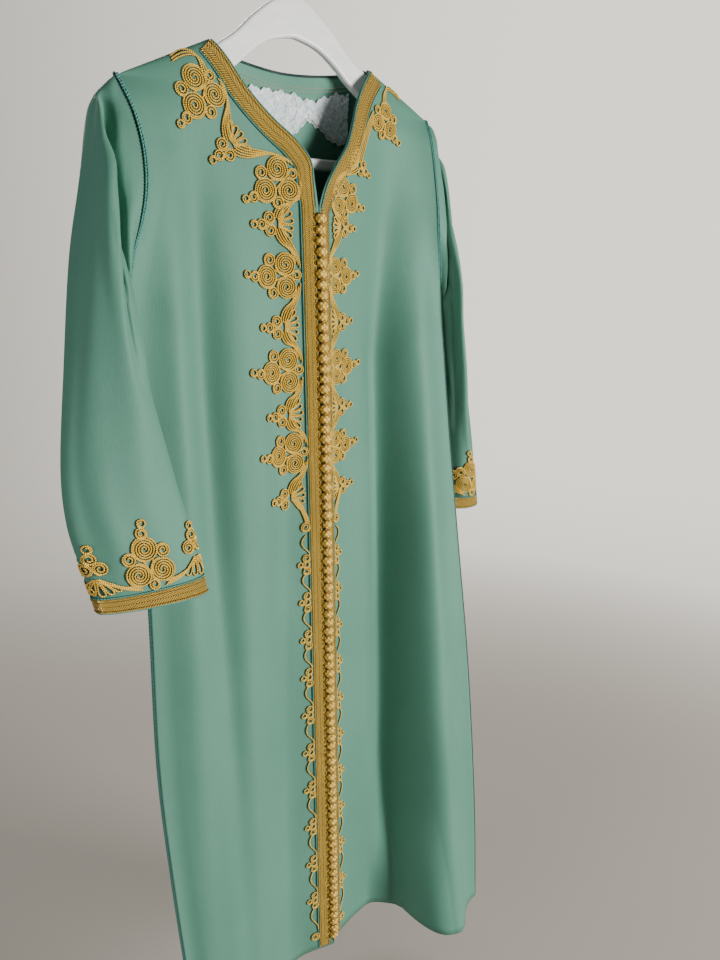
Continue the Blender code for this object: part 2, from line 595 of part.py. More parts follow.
def button_row(holder):
    """Knotted buttons on their cord: one profile of round bulges, turned about its own axis."""
    count = int((PLACKET_TOP - 0.012) / BUTTON_PITCH)
    neck = BUTTON_RADIUS * 0.45
    profile = [(0.0, 0.0), (neck, 0.0)]
    for i in range(count):
        profile.append((BUTTON_RADIUS, (i + 0.5) * BUTTON_PITCH))
        profile.append((neck, (i + 1) * BUTTON_PITCH))
    profile.append((0.0, count * BUTTON_PITCH))
    mesh = bpy.data.meshes.new("button_row")
    points = [(radius, 0.0, z) for radius, z in reversed(profile)]
    mesh.from_pydata(points, [(i, i + 1) for i in range(len(points) - 1)], [])
    made = add_object("button_row", mesh, "gold_braid", holder)
    flat_side = BUTTON_RADIUS * math.cos(math.pi / BUTTON_SIDES)
    made.location = (0, PLACKET_Y - CLOTH / 2 - SEAM_GAP - flat_side, 0.010)
    turn = made.modifiers.new("turn", "SCREW")
    turn.steps = BUTTON_SIDES
    turn.render_steps = BUTTON_SIDES
    turn.use_merge_vertices = True
    turn.merge_threshold = 0.00005


# ---------------------------------------------------------------- hanger
# Upper and lower edge of a hanger arm, from the middle out.
HANGER_ARM = table(
    "x top bottom",
    (0.000, 0.968, 0.934),
    (0.012, 0.965, 0.932),
    (0.027, 0.956, 0.9275),
    (0.043, 0.944, 0.918),
    (0.058, 0.931, 0.906),
    (0.072, 0.9215, 0.8965),
    (0.084, 0.9152, 0.890),
    (0.105, 0.9055, 0.880),
    (0.125, 0.8938, 0.870),
)
BAR_TOP = 0.839
BAR_BOTTOM = 0.829
NECK_TOP = 0.985
NECK_HALF = 0.0065


def arc(centre_x, centre_z, radius, start, end, count):
    angles = np.radians(np.linspace(start, end, count))
    return [(centre_x + radius * math.cos(a), centre_z + radius * math.sin(a)) for a in angles]


def hanger(holder):
    """Closed hanger: sloping arms that bend round to a bottom bar, a neck and a wire hook."""
    arm_end = HANGER_ARM["x"][-1]
    end_top = HANGER_ARM["top"][-1]
    end_radius = (end_top - BAR_BOTTOM) / 2
    upper = [(x, float(through(HANGER_ARM["x"], HANGER_ARM["top"], x))) for x in np.linspace(NECK_HALF, arm_end, 13)]
    squash = (HANGER_HALF - arm_end) / end_radius
    turn = [(arm_end + (x - arm_end) * squash, z)
            for x, z in arc(arm_end, BAR_BOTTOM + end_radius, end_radius, 68, -90, 8)]
    right = [(NECK_HALF, NECK_TOP)] + upper + turn
    outline = right + [(-x, z) for x, z in reversed(right)]
    lower = [(x, float(through(HANGER_ARM["x"], HANGER_ARM["bottom"], x))) for x in np.linspace(0.0, arm_end, 11)]
    hole = lower + arc(arm_end, BAR_TOP + 0.009, 0.009, 40, -90, 5)
    hole = hole + [(-x, z) for x, z in reversed(hole[1:])]
    curve = bpy.data.curves.new("hanger_body", "CURVE")
    curve.dimensions = "2D"
    curve.fill_mode = "BOTH"
    curve.extrude = HANGER_THICK / 2
    for points in (outline, hole):
        line = curve.splines.new("POLY")
        line.points.add(len(points) - 1)
        for slot, (x, z) in zip(line.points, points):
            slot.co = (x, z, 0, 1)
        line.use_cyclic_u = True
    made = add_object("hanger_body", curve, "white_plastic", holder)
    made.rotation_euler = (math.radians(90), 0, 0)
    made.location = (0, HANGER_Y, 0)
    bend = 0.021
    middle = HOOK_HEIGHT + WIRE_RADIUS - bend
    rise = [(0, NECK_TOP + SEAM_GAP), (0, NECK_TOP + 0.004), (0.004, NECK_TOP + 0.010), (0.012, NECK_TOP + 0.018)]
    hook = rise + arc(0, middle, bend, -22, 200, 20)
    wire = [(x, HANGER_Y, z) for x, z in hook]
    tube("hanger_hook", wire, WIRE_RADIUS, "steel_wire", holder, resolution=2)


def main():
    clear_scene()
    collection = bpy.data.collections.new("moroccan_kaftan")
    bpy.context.scene.collection.children.link(collection)
    hook_point = bpy.data.objects.new("hook_point", None)
    hook_point.location = (0, -HANGER_Y, -HOOK_HEIGHT)
    collection.objects.link(hook_point)
    holder = {"collection": collection, "hook_point": hook_point}
    for side in (-1, 1):
        panel = front_grid(side)
        sheet("front_panel_right" if side < 0 else "front_panel_left", panel, CLOTH, "green_crepe", holder)
        sleeve(side, holder)
        front_braid(side, panel, holder)
        front_embroidery(side, panel, holder)
        cuff_trim(side, holder)
        seam_cords(side, holder)
    panel = back_grid()
    sheet("back_panel", panel, CLOTH, "green_crepe", holder)
    back_neck_braid(panel, holder)
    back_neck_plate("embroidery_back_neck", panel, 1, 0.016, EMBROIDERY_THICK, "gold_cord", holder)
    back_neck_plate("embroidery_backing", panel, -1, 0.012, 0.001, "white_backing", holder)
    button_row(holder)
    hanger(holder)


main()
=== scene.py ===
"""Child's Moroccan kaftan on its hanger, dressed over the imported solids.

Lengths are metres. Shapes are worked out in the garment's own frame, with X to the viewer's right, Y to
the back and Z up from the hem, and HOME moves them so that the inner top of the hook is the origin.
Right and left in the names are the wearer's: the wearer's right is at -X.
"""
import math

import bpy
import numpy as np
from mathutils import Matrix


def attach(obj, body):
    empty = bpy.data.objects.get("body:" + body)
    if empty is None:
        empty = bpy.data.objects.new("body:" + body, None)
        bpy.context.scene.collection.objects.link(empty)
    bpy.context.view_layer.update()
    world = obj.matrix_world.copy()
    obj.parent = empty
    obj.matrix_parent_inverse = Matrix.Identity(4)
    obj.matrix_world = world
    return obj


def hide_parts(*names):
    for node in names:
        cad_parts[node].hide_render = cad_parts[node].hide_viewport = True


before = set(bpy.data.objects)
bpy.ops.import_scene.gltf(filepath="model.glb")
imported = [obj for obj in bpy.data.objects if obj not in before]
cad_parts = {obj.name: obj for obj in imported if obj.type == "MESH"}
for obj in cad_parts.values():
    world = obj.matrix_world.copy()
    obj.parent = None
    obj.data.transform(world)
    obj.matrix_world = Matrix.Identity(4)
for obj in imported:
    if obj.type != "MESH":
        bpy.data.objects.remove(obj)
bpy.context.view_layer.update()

HOOK_HEIGHT = 1.045
HANGER_Y = 0.022
HOME = np.array([0.0, -HANGER_Y, -HOOK_HEIGHT])
MM = 0.001
CLOTH = 0.0011
COLLAR_HALF = 0.084
COLLAR_HEIGHT = 0.920
SHOULDER_HALF = 0.164
SHOULDER_HEIGHT = 0.884
ARMPIT_HEIGHT = 0.727
RIDGE_Y = 0.023
PLACKET_Y = -0.012
PLACKET_TOP = 0.795
BACK_NECK_HEIGHT = 0.910
BACK_NECK_EDGE_RISE = COLLAR_HEIGHT - BACK_NECK_HEIGHT
BRAID_WIDTH = 0.0122
BRAID_INSET = 0.0030
BUTTON_RADIUS = 0.0041
BUTTON_PITCH = 0.0094
ARMHOLE_OPEN = 0.034
CUFF_BAND = 0.0125
SHOULDER_SLOPE = (COLLAR_HEIGHT - SHOULDER_HEIGHT) / (SHOULDER_HALF - COLLAR_HALF)
CORD = 0.00082            # radius of the couched cord


def table(columns, *rows):
    """Give each named column of a short table as an array."""
    return dict(zip(columns.split(), np.array(rows, float).T))


def rows_of(columns):
    """Go through a table row by row, each as a dictionary of its named values."""
    for values in zip(*columns.values()):
        yield dict(zip(columns, values))


# Edge of the fronts from the hem up the side seam and the armhole, wearer's right and left.
SIDE_EDGE = table(
    "height x_right y_right x_left y_left",
    (0.000, -0.184, -0.036, 0.190, -0.058),
    (0.090, -0.187, -0.030, 0.192, -0.052),
    (0.210, -0.190, -0.018, 0.194, -0.040),
    (0.300, -0.190, -0.008, 0.194, -0.030),
    (0.450, -0.183, 0.000, 0.190, -0.012),
    (0.600, -0.176, 0.005, 0.182, 0.002),
    (0.727, -0.175, 0.008, 0.174, 0.008),
    (0.758, -0.170, 0.004, 0.168, 0.004),
    (0.780, -0.163, 0.001, 0.163, 0.001),
    (0.800, -0.158, 0.000, 0.160, 0.000),
    (0.820, -0.156, 0.001, 0.158, 0.001),
    (0.850, -0.158, 0.006, 0.158, 0.006),
    (0.870, -0.162, 0.013, 0.160, 0.013),
    (0.884, -0.164, 0.023, 0.164, 0.023),
)

# Neck edge of the two fronts: the wearer's left front falls open above the top button.
NECK_EDGE = table(
    "height x_right x_left",
    (0.795, -0.0005, 0.0005),
    (0.815, -0.0028, 0.0120),
    (0.836, -0.0065, 0.0300),
    (0.850, -0.0180, 0.0420),
    (0.865, -0.0370, 0.0490),
    (0.888, -0.0600, 0.0580),
    (0.905, -0.0720, 0.0690),
    (0.920, -0.0840, 0.0840),
)

# Long soft folds of the fronts: each steps forward between x_start and x_end (both as shares of the
# run from top to hem), and its depth grows from fold_top down to the hem.
FRONT_FOLDS = table(
    "side fold_top start_top end_top start_hem end_hem depth crest",
    (-1, 0.80, 0.030, 0.085, 0.050, 0.130, 0.036, 0.020),
    (1, 0.76, 0.075, 0.140, 0.100, 0.130, 0.070, 0.008),
)

# Long folds of the back: depth of each soft ridge at the hem, from the wearer's right to left.
BACK_FOLDS = table(
    "x_top x_hem width depth",
    (-0.090, -0.115, 0.036, 0.030),
    (-0.010, -0.020, 0.034, 0.018),
    (0.075, 0.105, 0.040, 0.034),
)

# Sleeves, a row for each ring from armhole to cuff: outer point, inner point, how far the ring bulges
# to the front and back, and how far the front bulge leans away from the body.
SLEEVE_COLUMNS = "x_out y_out z_out x_in y_in z_in front back lean"
SLEEVE_RIGHT = table(
    SLEEVE_COLUMNS,
    (0.1655, 0.023, 0.884, 0.1740, 0.008, 0.727, 0.015, 0.020, 0.00),
    (0.1720, 0.022, 0.877, 0.1775, 0.006, 0.719, 0.014, 0.022, 0.00),
    (0.1815, 0.020, 0.868, 0.1810, 0.002, 0.710, 0.004, 0.024, 0.00),
    (0.1880, 0.012, 0.856, 0.1830, -0.005, 0.697, 0.036, 0.026, 0.30),
    (0.2040, 0.002, 0.805, 0.1810, -0.013, 0.672, 0.036, 0.026, 0.25),
    (0.2190, -0.004, 0.755, 0.1790, -0.020, 0.646, 0.032, 0.024, 0.20),
    (0.2350, -0.012, 0.685, 0.1740, -0.029, 0.612, 0.026, 0.020, 0.15),
    (0.2510, -0.024, 0.610, 0.1690, -0.037, 0.575, 0.020, 0.016, 0.10),
    (0.2550, -0.034, 0.565, 0.1650, -0.042, 0.547, 0.017, 0.014, 0.00),
    (0.2510, -0.044, 0.528, 0.1610, -0.047, 0.518, 0.014, 0.012, 0.00),
    (0.2460, -0.050, 0.499, 0.1570, -0.050, 0.491, 0.012, 0.011, 0.00),
)
SLEEVE_LEFT = table(
    SLEEVE_COLUMNS,
    (0.1655, 0.023, 0.884, 0.1750, 0.008, 0.727, 0.015, 0.020, 0.00),
    (0.1710, 0.024, 0.877, 0.1790, 0.009, 0.719, 0.014, 0.022, 0.00),
    (0.1760, 0.026, 0.866, 0.1820, 0.012, 0.710, 0.008, 0.024, 0.00),
    (0.1800, 0.029, 0.848, 0.1840, 0.018, 0.697, 0.026, 0.027, -0.10),
    (0.1880, 0.034, 0.795, 0.1850, 0.027, 0.672, 0.038, 0.030, 0.00),
    (0.1950, 0.038, 0.740, 0.1865, 0.034, 0.646, 0.044, 0.034, 0.00),
    (0.2110, 0.040, 0.670, 0.1890, 0.037, 0.612, 0.046, 0.038, 0.00),
    (0.2260, 0.041, 0.600, 0.1930, 0.039, 0.575, 0.044, 0.038, 0.00),
    (0.2370, 0.040, 0.552, 0.1980, 0.039, 0.545, 0.041, 0.037, 0.00),
    (0.2460, 0.038, 0.510, 0.2030, 0.037, 0.507, 0.037, 0.035, 0.00),
    (0.2530, 0.036, 0.470, 0.2070, 0.036, 0.470, 0.034, 0.034, 0.00),
)


# ---------------------------------------------------------------- curves and fields
def through(heights, values, at):
    """Smooth curve through the rows: a cubic between neighbours, with the slope of their neighbours."""
    at = np.clip(np.asarray(at, float), heights[0], heights[-1])
    slope = np.gradient(values, heights)
    low = np.clip(np.searchsorted(heights, at, side="right") - 1, 0, len(heights) - 2)
    span = heights[low + 1] - heights[low]
    s = (at - heights[low]) / span
    return ((1 + 2 * s) * (1 - s) ** 2 * values[low] + s * (1 - s) ** 2 * span * slope[low]
            + s * s * (3 - 2 * s) * values[low + 1] + s * s * (s - 1) * span * slope[low + 1])


def side_edge(axis, side, height):
    """Coordinate of the side edge at a height; side is -1 for the wearer's right, 1 for the left."""
    column = axis + ("_right" if side < 0 else "_left")
    return through(SIDE_EDGE["height"], SIDE_EDGE[column], height)


def neck_edge(side, height):
    """X of the cloth's edge at the centre front and neck."""
    column = "x_right" if side < 0 else "x_left"
    above = through(NECK_EDGE["height"], NECK_EDGE[column], height)
    return np.where(np.asarray(height) < PLACKET_TOP, side * 0.0005, above)


def ease(start, end, value):
    """0 before start, 1 after end, and a smooth S between."""
    s = np.clip((np.asarray(value, float) - start) / (end - start), 0, 1)
    return s * s * (3 - 2 * s)


def shoulder_drop(x, z):
    """Height of the shoulder line over a point of the body."""
    return np.maximum(COLLAR_HEIGHT - SHOULDER_SLOPE * (np.abs(x) - COLLAR_HALF) - z, 0)


def to_side_seam(x, z, depth, seam_extra=0.0):
    """Bring a depth field to the side edge, rounding over the last part of the width."""
    left = x >= 0
    edge_x = np.where(left, side_edge("x", 1, z), side_edge("x", -1, z))
    edge_y = np.where(left, side_edge("y", 1, z), side_edge("y", -1, z)) + seam_extra
    share = np.clip(np.abs(x) / np.abs(edge_x), 0, 1) ** 7
    return depth * (1 - share) + edge_y * share


def armhole_gap(z):
    """How far an armhole's back edge stands behind its front edge: half a sine up it, made fuller."""
    arm = np.clip((z - ARMPIT_HEIGHT) / (SHOULDER_HEIGHT - ARMPIT_HEIGHT), 0, 1)
    return ARMHOLE_OPEN * np.clip(np.sin(np.pi * arm), 0, 1) ** 0.8


def front_y(x, z):
    """Depth of the fronts: a low roof with its ridge on the placket, long folds near the sides, and
    a rounded top that runs back to the shoulder line."""
    x, z = np.broadcast_arrays(np.asarray(x, float), np.asarray(z, float))
    flat = PLACKET_Y + 0.020 * (1 - np.exp(-np.abs(x) / 0.05))
    for fold in rows_of(FRONT_FOLDS):
        fall = np.clip(1 - z / fold["fold_top"], 0, 1)
        start = fold["start_top"] + (fold["start_hem"] - fold["start_top"]) * fall
        end = fold["end_top"] + (fold["end_hem"] - fold["end_top"]) * fall
        across = x * fold["side"]
        flat = flat - fold["depth"] * fall ** 1.3 * ease(start, end, across)
        flat = flat - fold["crest"] * fall ** 0.8 * np.exp(-((across - end) / 0.035) ** 2)
    curve = 1 - np.exp(-np.sqrt(shoulder_drop(x, z) / 0.020))
    return to_side_seam(x, z, RIDGE_Y + (flat - RIDGE_Y) * curve)


def back_y(x, z):
    """Depth of the back: hangs free of the shoulder line and fills out towards the hem."""
    x, z = np.broadcast_arrays(np.asarray(x, float), np.asarray(z, float))
    fall = np.clip(1 - z / ARMPIT_HEIGHT, 0, 1)
    flat = (0.042 + 0.030 * ease(0.0, 1.0, fall)) * (1 - 0.30 * (np.abs(x) / 0.19) ** 2)
    for fold in rows_of(BACK_FOLDS):
        middle = fold["x_top"] + (fold["x_hem"] - fold["x_top"]) * fall
        flat = flat + fold["depth"] * fall ** 1.2 * np.exp(-((x - middle) / fold["width"]) ** 2)
    curve = 1 - np.exp(-np.sqrt(shoulder_drop(x, z) / 0.024))
    return to_side_seam(x, z, RIDGE_Y + (flat - RIDGE_Y) * curve, armhole_gap(z))


def unit(vectors):
    """Vectors along the last axis, brought to length 1."""
    return vectors / np.maximum(np.linalg.norm(vectors, axis=-1, keepdims=True), 1e-9)


def droop_of_hem(x):
    """The hem hangs level at the middle and droops over the side folds."""
    return -0.018 * ease(0.060, 0.135, np.abs(x)) - 0.004 * np.exp(-((x - 0.138) / 0.022) ** 2)


def back_neck_height(x):
    """Height of the back neck's edge: lowest at the middle, rising with the square of the way out."""
    return BACK_NECK_HEIGHT + BACK_NECK_EDGE_RISE * np.clip(np.abs(x) / COLLAR_HALF, 0, 1) ** 2


def armhole_ring(side, turns):
    """Closed line of the armhole: turn 0 is the shoulder, a quarter the front, a half the armpit."""
    down = (1 - np.cos(2 * np.pi * turns)) / 2
    z = SHOULDER_HEIGHT + (ARMPIT_HEIGHT - SHOULDER_HEIGHT) * down
    y = side_edge("y", side, z) + np.where(turns > 0.5, armhole_gap(z), 0)
    return np.stack([side_edge("x", side, z), y, z], -1)


def sleeve_rings(side, turns):
    """The rings of the sleeve's table as points; each is a flattened loop between its outer and inner
    point that bulges to the front and back."""
    rings = []
    bulge = np.sin(2 * np.pi * turns)
    outward = np.cos(2 * np.pi * turns)[:, None]
    for ring in rows_of(SLEEVE_RIGHT if side < 0 else SLEEVE_LEFT):
        outer = np.array([side * ring["x_out"], ring["y_out"], ring["z_out"]])
        inner = np.array([side * ring["x_in"], ring["y_in"], ring["z_in"]])
        amount = np.sign(bulge) * np.abs(bulge) ** 0.75 * np.where(bulge > 0, ring["front"], ring["back"])
        aside = np.where(bulge > 0, ring["lean"], -0.15) * side
        loop = (outer + inner) / 2 + outward * (outer - inner) / 2
        rings.append(loop + np.stack([aside * amount, -amount, 0 * amount], -1))
    rings[0] = armhole_ring(side, turns) + np.array([side * 0.0009, 0, 0])
    return np.array(rings)


def sleeve_points(side, turns, along):
    """Points of the sleeve: turns round it, along from 0 at the armhole to 1 at the cuff."""
    rings = sleeve_rings(side, turns)
    stations = np.linspace(0, 1, len(rings))
    flat = rings.reshape(len(rings), -1)
    points = np.stack([through(stations, column, along) for column in flat.T], -1)
    return points.reshape(len(along), len(turns), 3)


# Creases of each cloth as soft troughs (-) and ridges (+): a line from one place to another, how wide
# the crease is to each side, and how deep. Places on the body are x and height; on a sleeve they are
# the turn round it and the share of the way down. Kinks bend the line sideways at its middle.
CREASE_COLUMNS = "a0 b0 a1 b1 width depth kink"
FRONT_CREASES = table(
    CREASE_COLUMNS,
    (-0.134, 0.840, -0.170, -0.050, 0.017, 0.0078, 0.002),
    (-0.110, 0.860, -0.124, -0.050, 0.016, -0.0092, -0.002),
    (-0.072, 0.760, -0.066, -0.050, 0.017, 0.0048, 0.003),
    (-0.158, 0.738, -0.120, 0.690, 0.012, 0.0010, 0.003),
    (0.066, 0.620, 0.062, 0.060, 0.012, 0.0009, 0.003),
    (0.084, 0.560, 0.082, 0.120, 0.012, -0.0010, -0.003),
    (0.142, 0.800, 0.156, 0.250, 0.016, 0.0036, 0.003),
    (0.160, 0.728, 0.128, 0.650, 0.013, 0.0010, -0.004),
)
BACK_CREASES = table(
    CREASE_COLUMNS,
    (-0.070, 0.780, -0.096, -0.050, 0.014, 0.0040, 0.006),
    (-0.040, 0.700, -0.058, -0.050, 0.011, -0.0034, -0.004),
    (0.000, 0.820, 0.012, -0.050, 0.016, 0.0034, 0.006),
    (0.046, 0.660, 0.060, -0.050, 0.010, -0.0032, 0.004),
    (0.090, 0.740, 0.122, -0.050, 0.013, 0.0042, -0.006),
    (-0.128, 0.640, -0.150, -0.050, 0.010, -0.0028, 0.004),
    (0.140, 0.560, 0.160, -0.050, 0.009, -0.0024, 0.003),
    (-0.155, 0.742, -0.100, 0.800, 0.010, 0.0024, 0.005),
    (0.155, 0.742, 0.104, 0.792, 0.010, 0.0024, -0.005),
    (-0.140, 0.850, -0.120, 0.780, 0.008, -0.0018, 0.003),
    (0.140, 0.850, 0.118, 0.776, 0.008, -0.0018, 0.003),
)
SLEEVE_RIGHT_CREASES = table(
    CREASE_COLUMNS,
    (0.150, 0.060, 0.200, 0.520, 0.030, 0.0034, 0.016),
    (0.245, 0.060, 0.300, 0.560, 0.026, -0.0046, 0.012),
    (0.345, 0.100, 0.372, 0.520, 0.028, 0.0030, -0.008),
    (0.060, 0.320, 0.110, 0.900, 0.034, -0.0014, 0.010),
    (0.180, 0.660, 0.150, 0.960, 0.034, 0.0012, -0.010),
    (0.640, 0.080, 0.600, 0.800, 0.034, 0.0030, 0.012),
    (0.740, 0.100, 0.760, 0.700, 0.030, -0.0032, -0.012),
    (0.850, 0.080, 0.880, 0.760, 0.030, 0.0024, 0.010),
    (0.440, 0.160, 0.520, 0.300, 0.030, 0.0016, 0.010),
)
SLEEVE_LEFT_CREASES = table(
    CREASE_COLUMNS,
    (0.080, 0.060, 0.110, 0.640, 0.026, 0.0036, 0.010),
    (0.170, 0.060, 0.190, 0.800, 0.024, -0.0040, 0.012),
    (0.270, 0.100, 0.260, 0.900, 0.028, 0.0040, -0.012),
    (0.370, 0.140, 0.350, 0.760, 0.024, -0.0030, 0.010),
    (0.020, 0.500, 0.050, 0.960, 0.024, -0.0018, 0.008),
    (0.620, 0.080, 0.640, 0.860, 0.032, 0.0036, 0.014),
    (0.730, 0.100, 0.710, 0.760, 0.028, -0.0036, -0.010),
    (0.840, 0.060, 0.860, 0.700, 0.030, 0.0026, 0.010),
    (0.450, 0.140, 0.480, 0.360, 0.030, 0.0020, 0.010),
)


def creased(a, b, rows):
    """How far creases lift the cloth at each place: every row adds a bell across its line, whose height
    rises and falls as half a sine along it, and the line bows sideways by its kink. A crease whose
    line ends below the hem stays at its full height there."""
    lift = np.zeros(np.broadcast(a, b).shape)
    for a0, b0, a1, b1, width, depth, kink in zip(*rows.values()):
        run = (b - b0) / (b1 - b0)
        inside = np.clip(run, 0, 1)
        middle = a0 + (a1 - a0) * inside + kink * np.sin(2.3 * np.pi * inside)
        to_hem = np.minimum(np.sin(np.pi * inside ** 0.75) + inside ** 2, 1)
        fade = np.where(b1 < 0, to_hem, np.sin(np.pi * inside)) * ((run > 0) & (run < 1))
        lift = lift + depth * fade * np.exp(-((a - middle) / width) ** 2)
    return lift


def rumple(a, b):
    """The slight unevenness of hanging cloth: a few long waves that never line up."""
    return (0.00034 * np.sin(61 * a + 9 * b + 1.3 * np.sin(17 * b)) + 0.00026 * np.sin(112 * a - 21 * b + 0.7)
            + 0.00022 * np.sin(43 * b + 31 * a + 1.1 * np.sin(50 * a)))


def near_edges(x, z):
    """0 at the side seam, armhole, shoulder and placket, 1 a little way in, so creases leave the
    seams in place."""
    edge = np.where(x > 0, side_edge("x", 1, z), -side_edge("x", -1, z))
    return (ease(0, 0.020, edge - np.abs(x)) * ease(0.002, 0.030, shoulder_drop(x, z))
            * ease(0.016, 0.040, np.abs(x) + 0.2 * np.maximum(z - PLACKET_TOP, 0)))


def left_fold(x, z):
    """What the fold on the wearer's left has beyond front_y, as a change of depth. A bell-shaped trough
    sends the cloth back. The step of FRONT_FOLDS is swapped for one that rises fast and rounds off,
    with a low shelf before it near the hem. A bell-shaped crest comes forward past it. Beside the
    placket the roof falls away faster. All but the crest fade out at the side seam."""
    fall = np.clip(1 - z / 0.76, 0, 1)
    trough = (0.0270 * np.clip((0.87 - z) / 0.22, 0, 1) ** 0.8 * (0.1 + 0.9 * ease(0.02, 0.20, z))
              * np.exp(-((x - 0.115 + 0.012 * ease(0.15, 0.70, z)) / 0.025) ** 2))
    low = ease(0.42, 0.0, z)
    was = ease(0.075 + 0.025 * fall, 0.140 - 0.010 * fall, x)
    now = 1 - (1 - ease(0.106 - 0.008 * low, 0.156 - 0.021 * low, x)) ** 2
    shelf = 0.016 * ease(0.066, 0.108, x) * ease(0.14, 0.0, z)
    steeper = 0.070 * fall ** 1.3 * (now - was) + shelf * (1 - now)
    out_share = np.clip(np.abs(x) / np.abs(side_edge("x", 1, z)), 0, 1)
    crest = 0.018 * fall ** 1.4 * np.exp(-((x - 0.140) / 0.025) ** 2) * (1 - out_share ** 18)
    roof = 0.0042 * (1 - np.exp(-np.abs(x) / 0.010)) * ease(0.83, 0.77, z)
    return np.where(x > 0, (trough - steeper + roof) * (1 - out_share ** 7) - crest, 0.0)


def front_surface(x, z):
    """Depth of the fronts with folds, creases and the slight unevenness of the cloth."""
    lift = creased(x, z, FRONT_CREASES) + rumple(x, z)
    return front_y(x, z) - lift * near_edges(x, z) + left_fold(x, z)


def back_surface(x, z):
    """The same for the back, whose creases also run on across its middle."""
    keep = np.maximum(near_edges(x, z), ease(0.002, 0.030, shoulder_drop(x, z)) * (np.abs(x) < 0.05))
    return back_y(x, z) + (creased(x, z, BACK_CREASES) + rumple(x + 0.4, z)) * keep


# ---------------------------------------------------------------- building blocks
def new_piece(name, points, faces, finish, corners_uv=None, smooth=True):
    """A piece from points in the garment's frame and its faces, placed and told what it rides on."""
    mesh = bpy.data.meshes.new(name)
    points = np.asarray(points, float).reshape(-1, 3) + HOME
    faces = np.asarray(faces, int)
    mesh.vertices.add(len(points))
    mesh.vertices.foreach_set("co", points.ravel())
    mesh.loops.add(faces.size)
    mesh.loops.foreach_set("vertex_index", faces.ravel())
    mesh.polygons.add(len(faces))
    mesh.polygons.foreach_set("loop_start", np.arange(len(faces)) * faces.shape[1])
    mesh.polygons.foreach_set("loop_total", np.full(len(faces), faces.shape[1]))
    if corners_uv is not None:
        layer = mesh.uv_layers.new(name="UVMap")
        layer.data.foreach_set("uv", np.asarray(corners_uv, float).reshape(-1, 2).ravel())
    mesh.update(calc_edges=True)
    mesh.validate()
    mesh.polygons.foreach_set("use_smooth", np.full(len(mesh.polygons), smooth))
    mesh.materials.append(finish)
    piece = bpy.data.objects.new(name, mesh)
    bpy.context.scene.collection.objects.link(piece)
    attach(piece, "root")
    return piece


def grid_faces(rows, columns, ring=False):
    """Four-sided faces of a grid of points; with ring, the last column joins the first."""
    across = columns if ring else columns - 1
    r, c = np.meshgrid(np.arange(rows - 1), np.arange(across), indexing="ij")
    following = (c + 1) % columns
    return np.stack([r * columns + c, r * columns + following,
                     (r + 1) * columns + following, (r + 1) * columns + c], -1).reshape(-1, 4)


def tube(u, v):
    """Faces and corner coordinates of a closed grid whose rings turn the other way round."""
    return grid_faces(len(u), len(v), True)[:, ::-1], grid_uv(u, v, True)[:, :, ::-1]


def grid_uv(u, v, ring=False):
    """Corner coordinates of a grid's faces, from each row's u and each column's v."""
    across = len(v) if ring else len(v) - 1
    v = np.append(v, 2 * v[-1] - v[-2]) if ring else v
    r, c = np.meshgrid(np.arange(len(u) - 1), np.arange(across), indexing="ij")
    return np.stack([np.stack([u[r], v[c]], -1), np.stack([u[r], v[c + 1]], -1),
                     np.stack([u[r + 1], v[c + 1]], -1), np.stack([u[r + 1], v[c]], -1)], -2)


def cloth(name, grid, finish, ring=False, thickness=CLOTH, flip=False):
    """A woven sheet through a grid of points, given its thickness about its middle."""
    faces = grid_faces(*grid.shape[:2], ring)
    piece = new_piece(name, grid, faces[:, ::-1] if flip else faces, finish)
    wall = piece.modifiers.new("wall", "SOLIDIFY")
    wall.thickness = thickness
    wall.offset = 0.0
    wall.use_even_offset = False
    return piece


def joined(parts):
    """Put several meshes, each given as points, faces and corner coordinates, into one."""
    points, faces, uvs, first = [], [], [], 0
    for p, f, uv in parts:
        points.append(p.reshape(-1, 3))
        faces.append(f + first)
        uvs.append(uv.reshape(-1, 4, 2))
        first += len(points[-1])
    return np.concatenate(points), np.concatenate(faces), np.concatenate(uvs)


def length_run(path):
    """Length along a path up to each of its points."""
    return np.concatenate([[0], np.cumsum(np.linalg.norm(np.diff(path, axis=0), axis=1))])


def cord_mesh(path, outward, radius, sides=6, flat=1.0, ends=True):
    """A round cord along a path: at each point a ring of the radius in the plane across the path, with
    the outward direction as its top. flat squashes it against the cloth. Its u is the length run."""
    path = np.asarray(path, float)
    along = unit(np.gradient(path, axis=0))
    aside = unit(np.cross(along, outward))
    top = np.cross(aside, along)
    radius = np.broadcast_to(np.asarray(radius, float), len(path)).copy()
    if ends:
        radius[[0, -1]] *= 0.35
    angle = 2 * np.pi * np.arange(sides) / sides
    ring = np.cos(angle)[None, :, None] * aside[:, None] + flat * np.sin(angle)[None, :, None] * top[:, None]
    points = path[:, None] + ring * radius[:, None, None]
    return points, *tube(length_run(path) * 100, np.linspace(0, 1 - 1 / sides, sides))


def cords(name, meshes, finish):
    """One piece made of several meshes."""
    points, faces, uv = joined(meshes)
    return new_piece(name, points, faces, finish, uv)


def evenly(path, step):
    """The same path with points a step apart, joined by straight runs."""
    path = np.asarray(path, float)
    run = length_run(path)
    at = np.linspace(0, run[-1], max(int(run[-1] / step), 2) + 1)
    return np.stack([np.interp(at, run, column) for column in path.T], -1)


# ---------------------------------------------------------------- surfaces that trim lies on
def over(surface, way):
    """A function that gives points at each (x, z) of a surface, a height out along its normal, and that
    normal. way is -1 where the outside faces the front, 1 where it faces back."""
    step = 0.0012

    def place(flat, height):
        """The point and normal at x and z, with slopes from differences to either side."""
        x, z = flat[..., 0], flat[..., 1]
        slope_x = (surface(x + step, z) - surface(x - step, z)) / (2 * step)
        slope_z = (surface(x, z + step) - surface(x, z - step)) / (2 * step)
        out = unit(np.stack([-way * slope_x, way * np.ones_like(x), -way * slope_z], -1))
        return np.stack([x, surface(x, z), z], -1) + out * np.asarray(height)[..., None], out

    return place


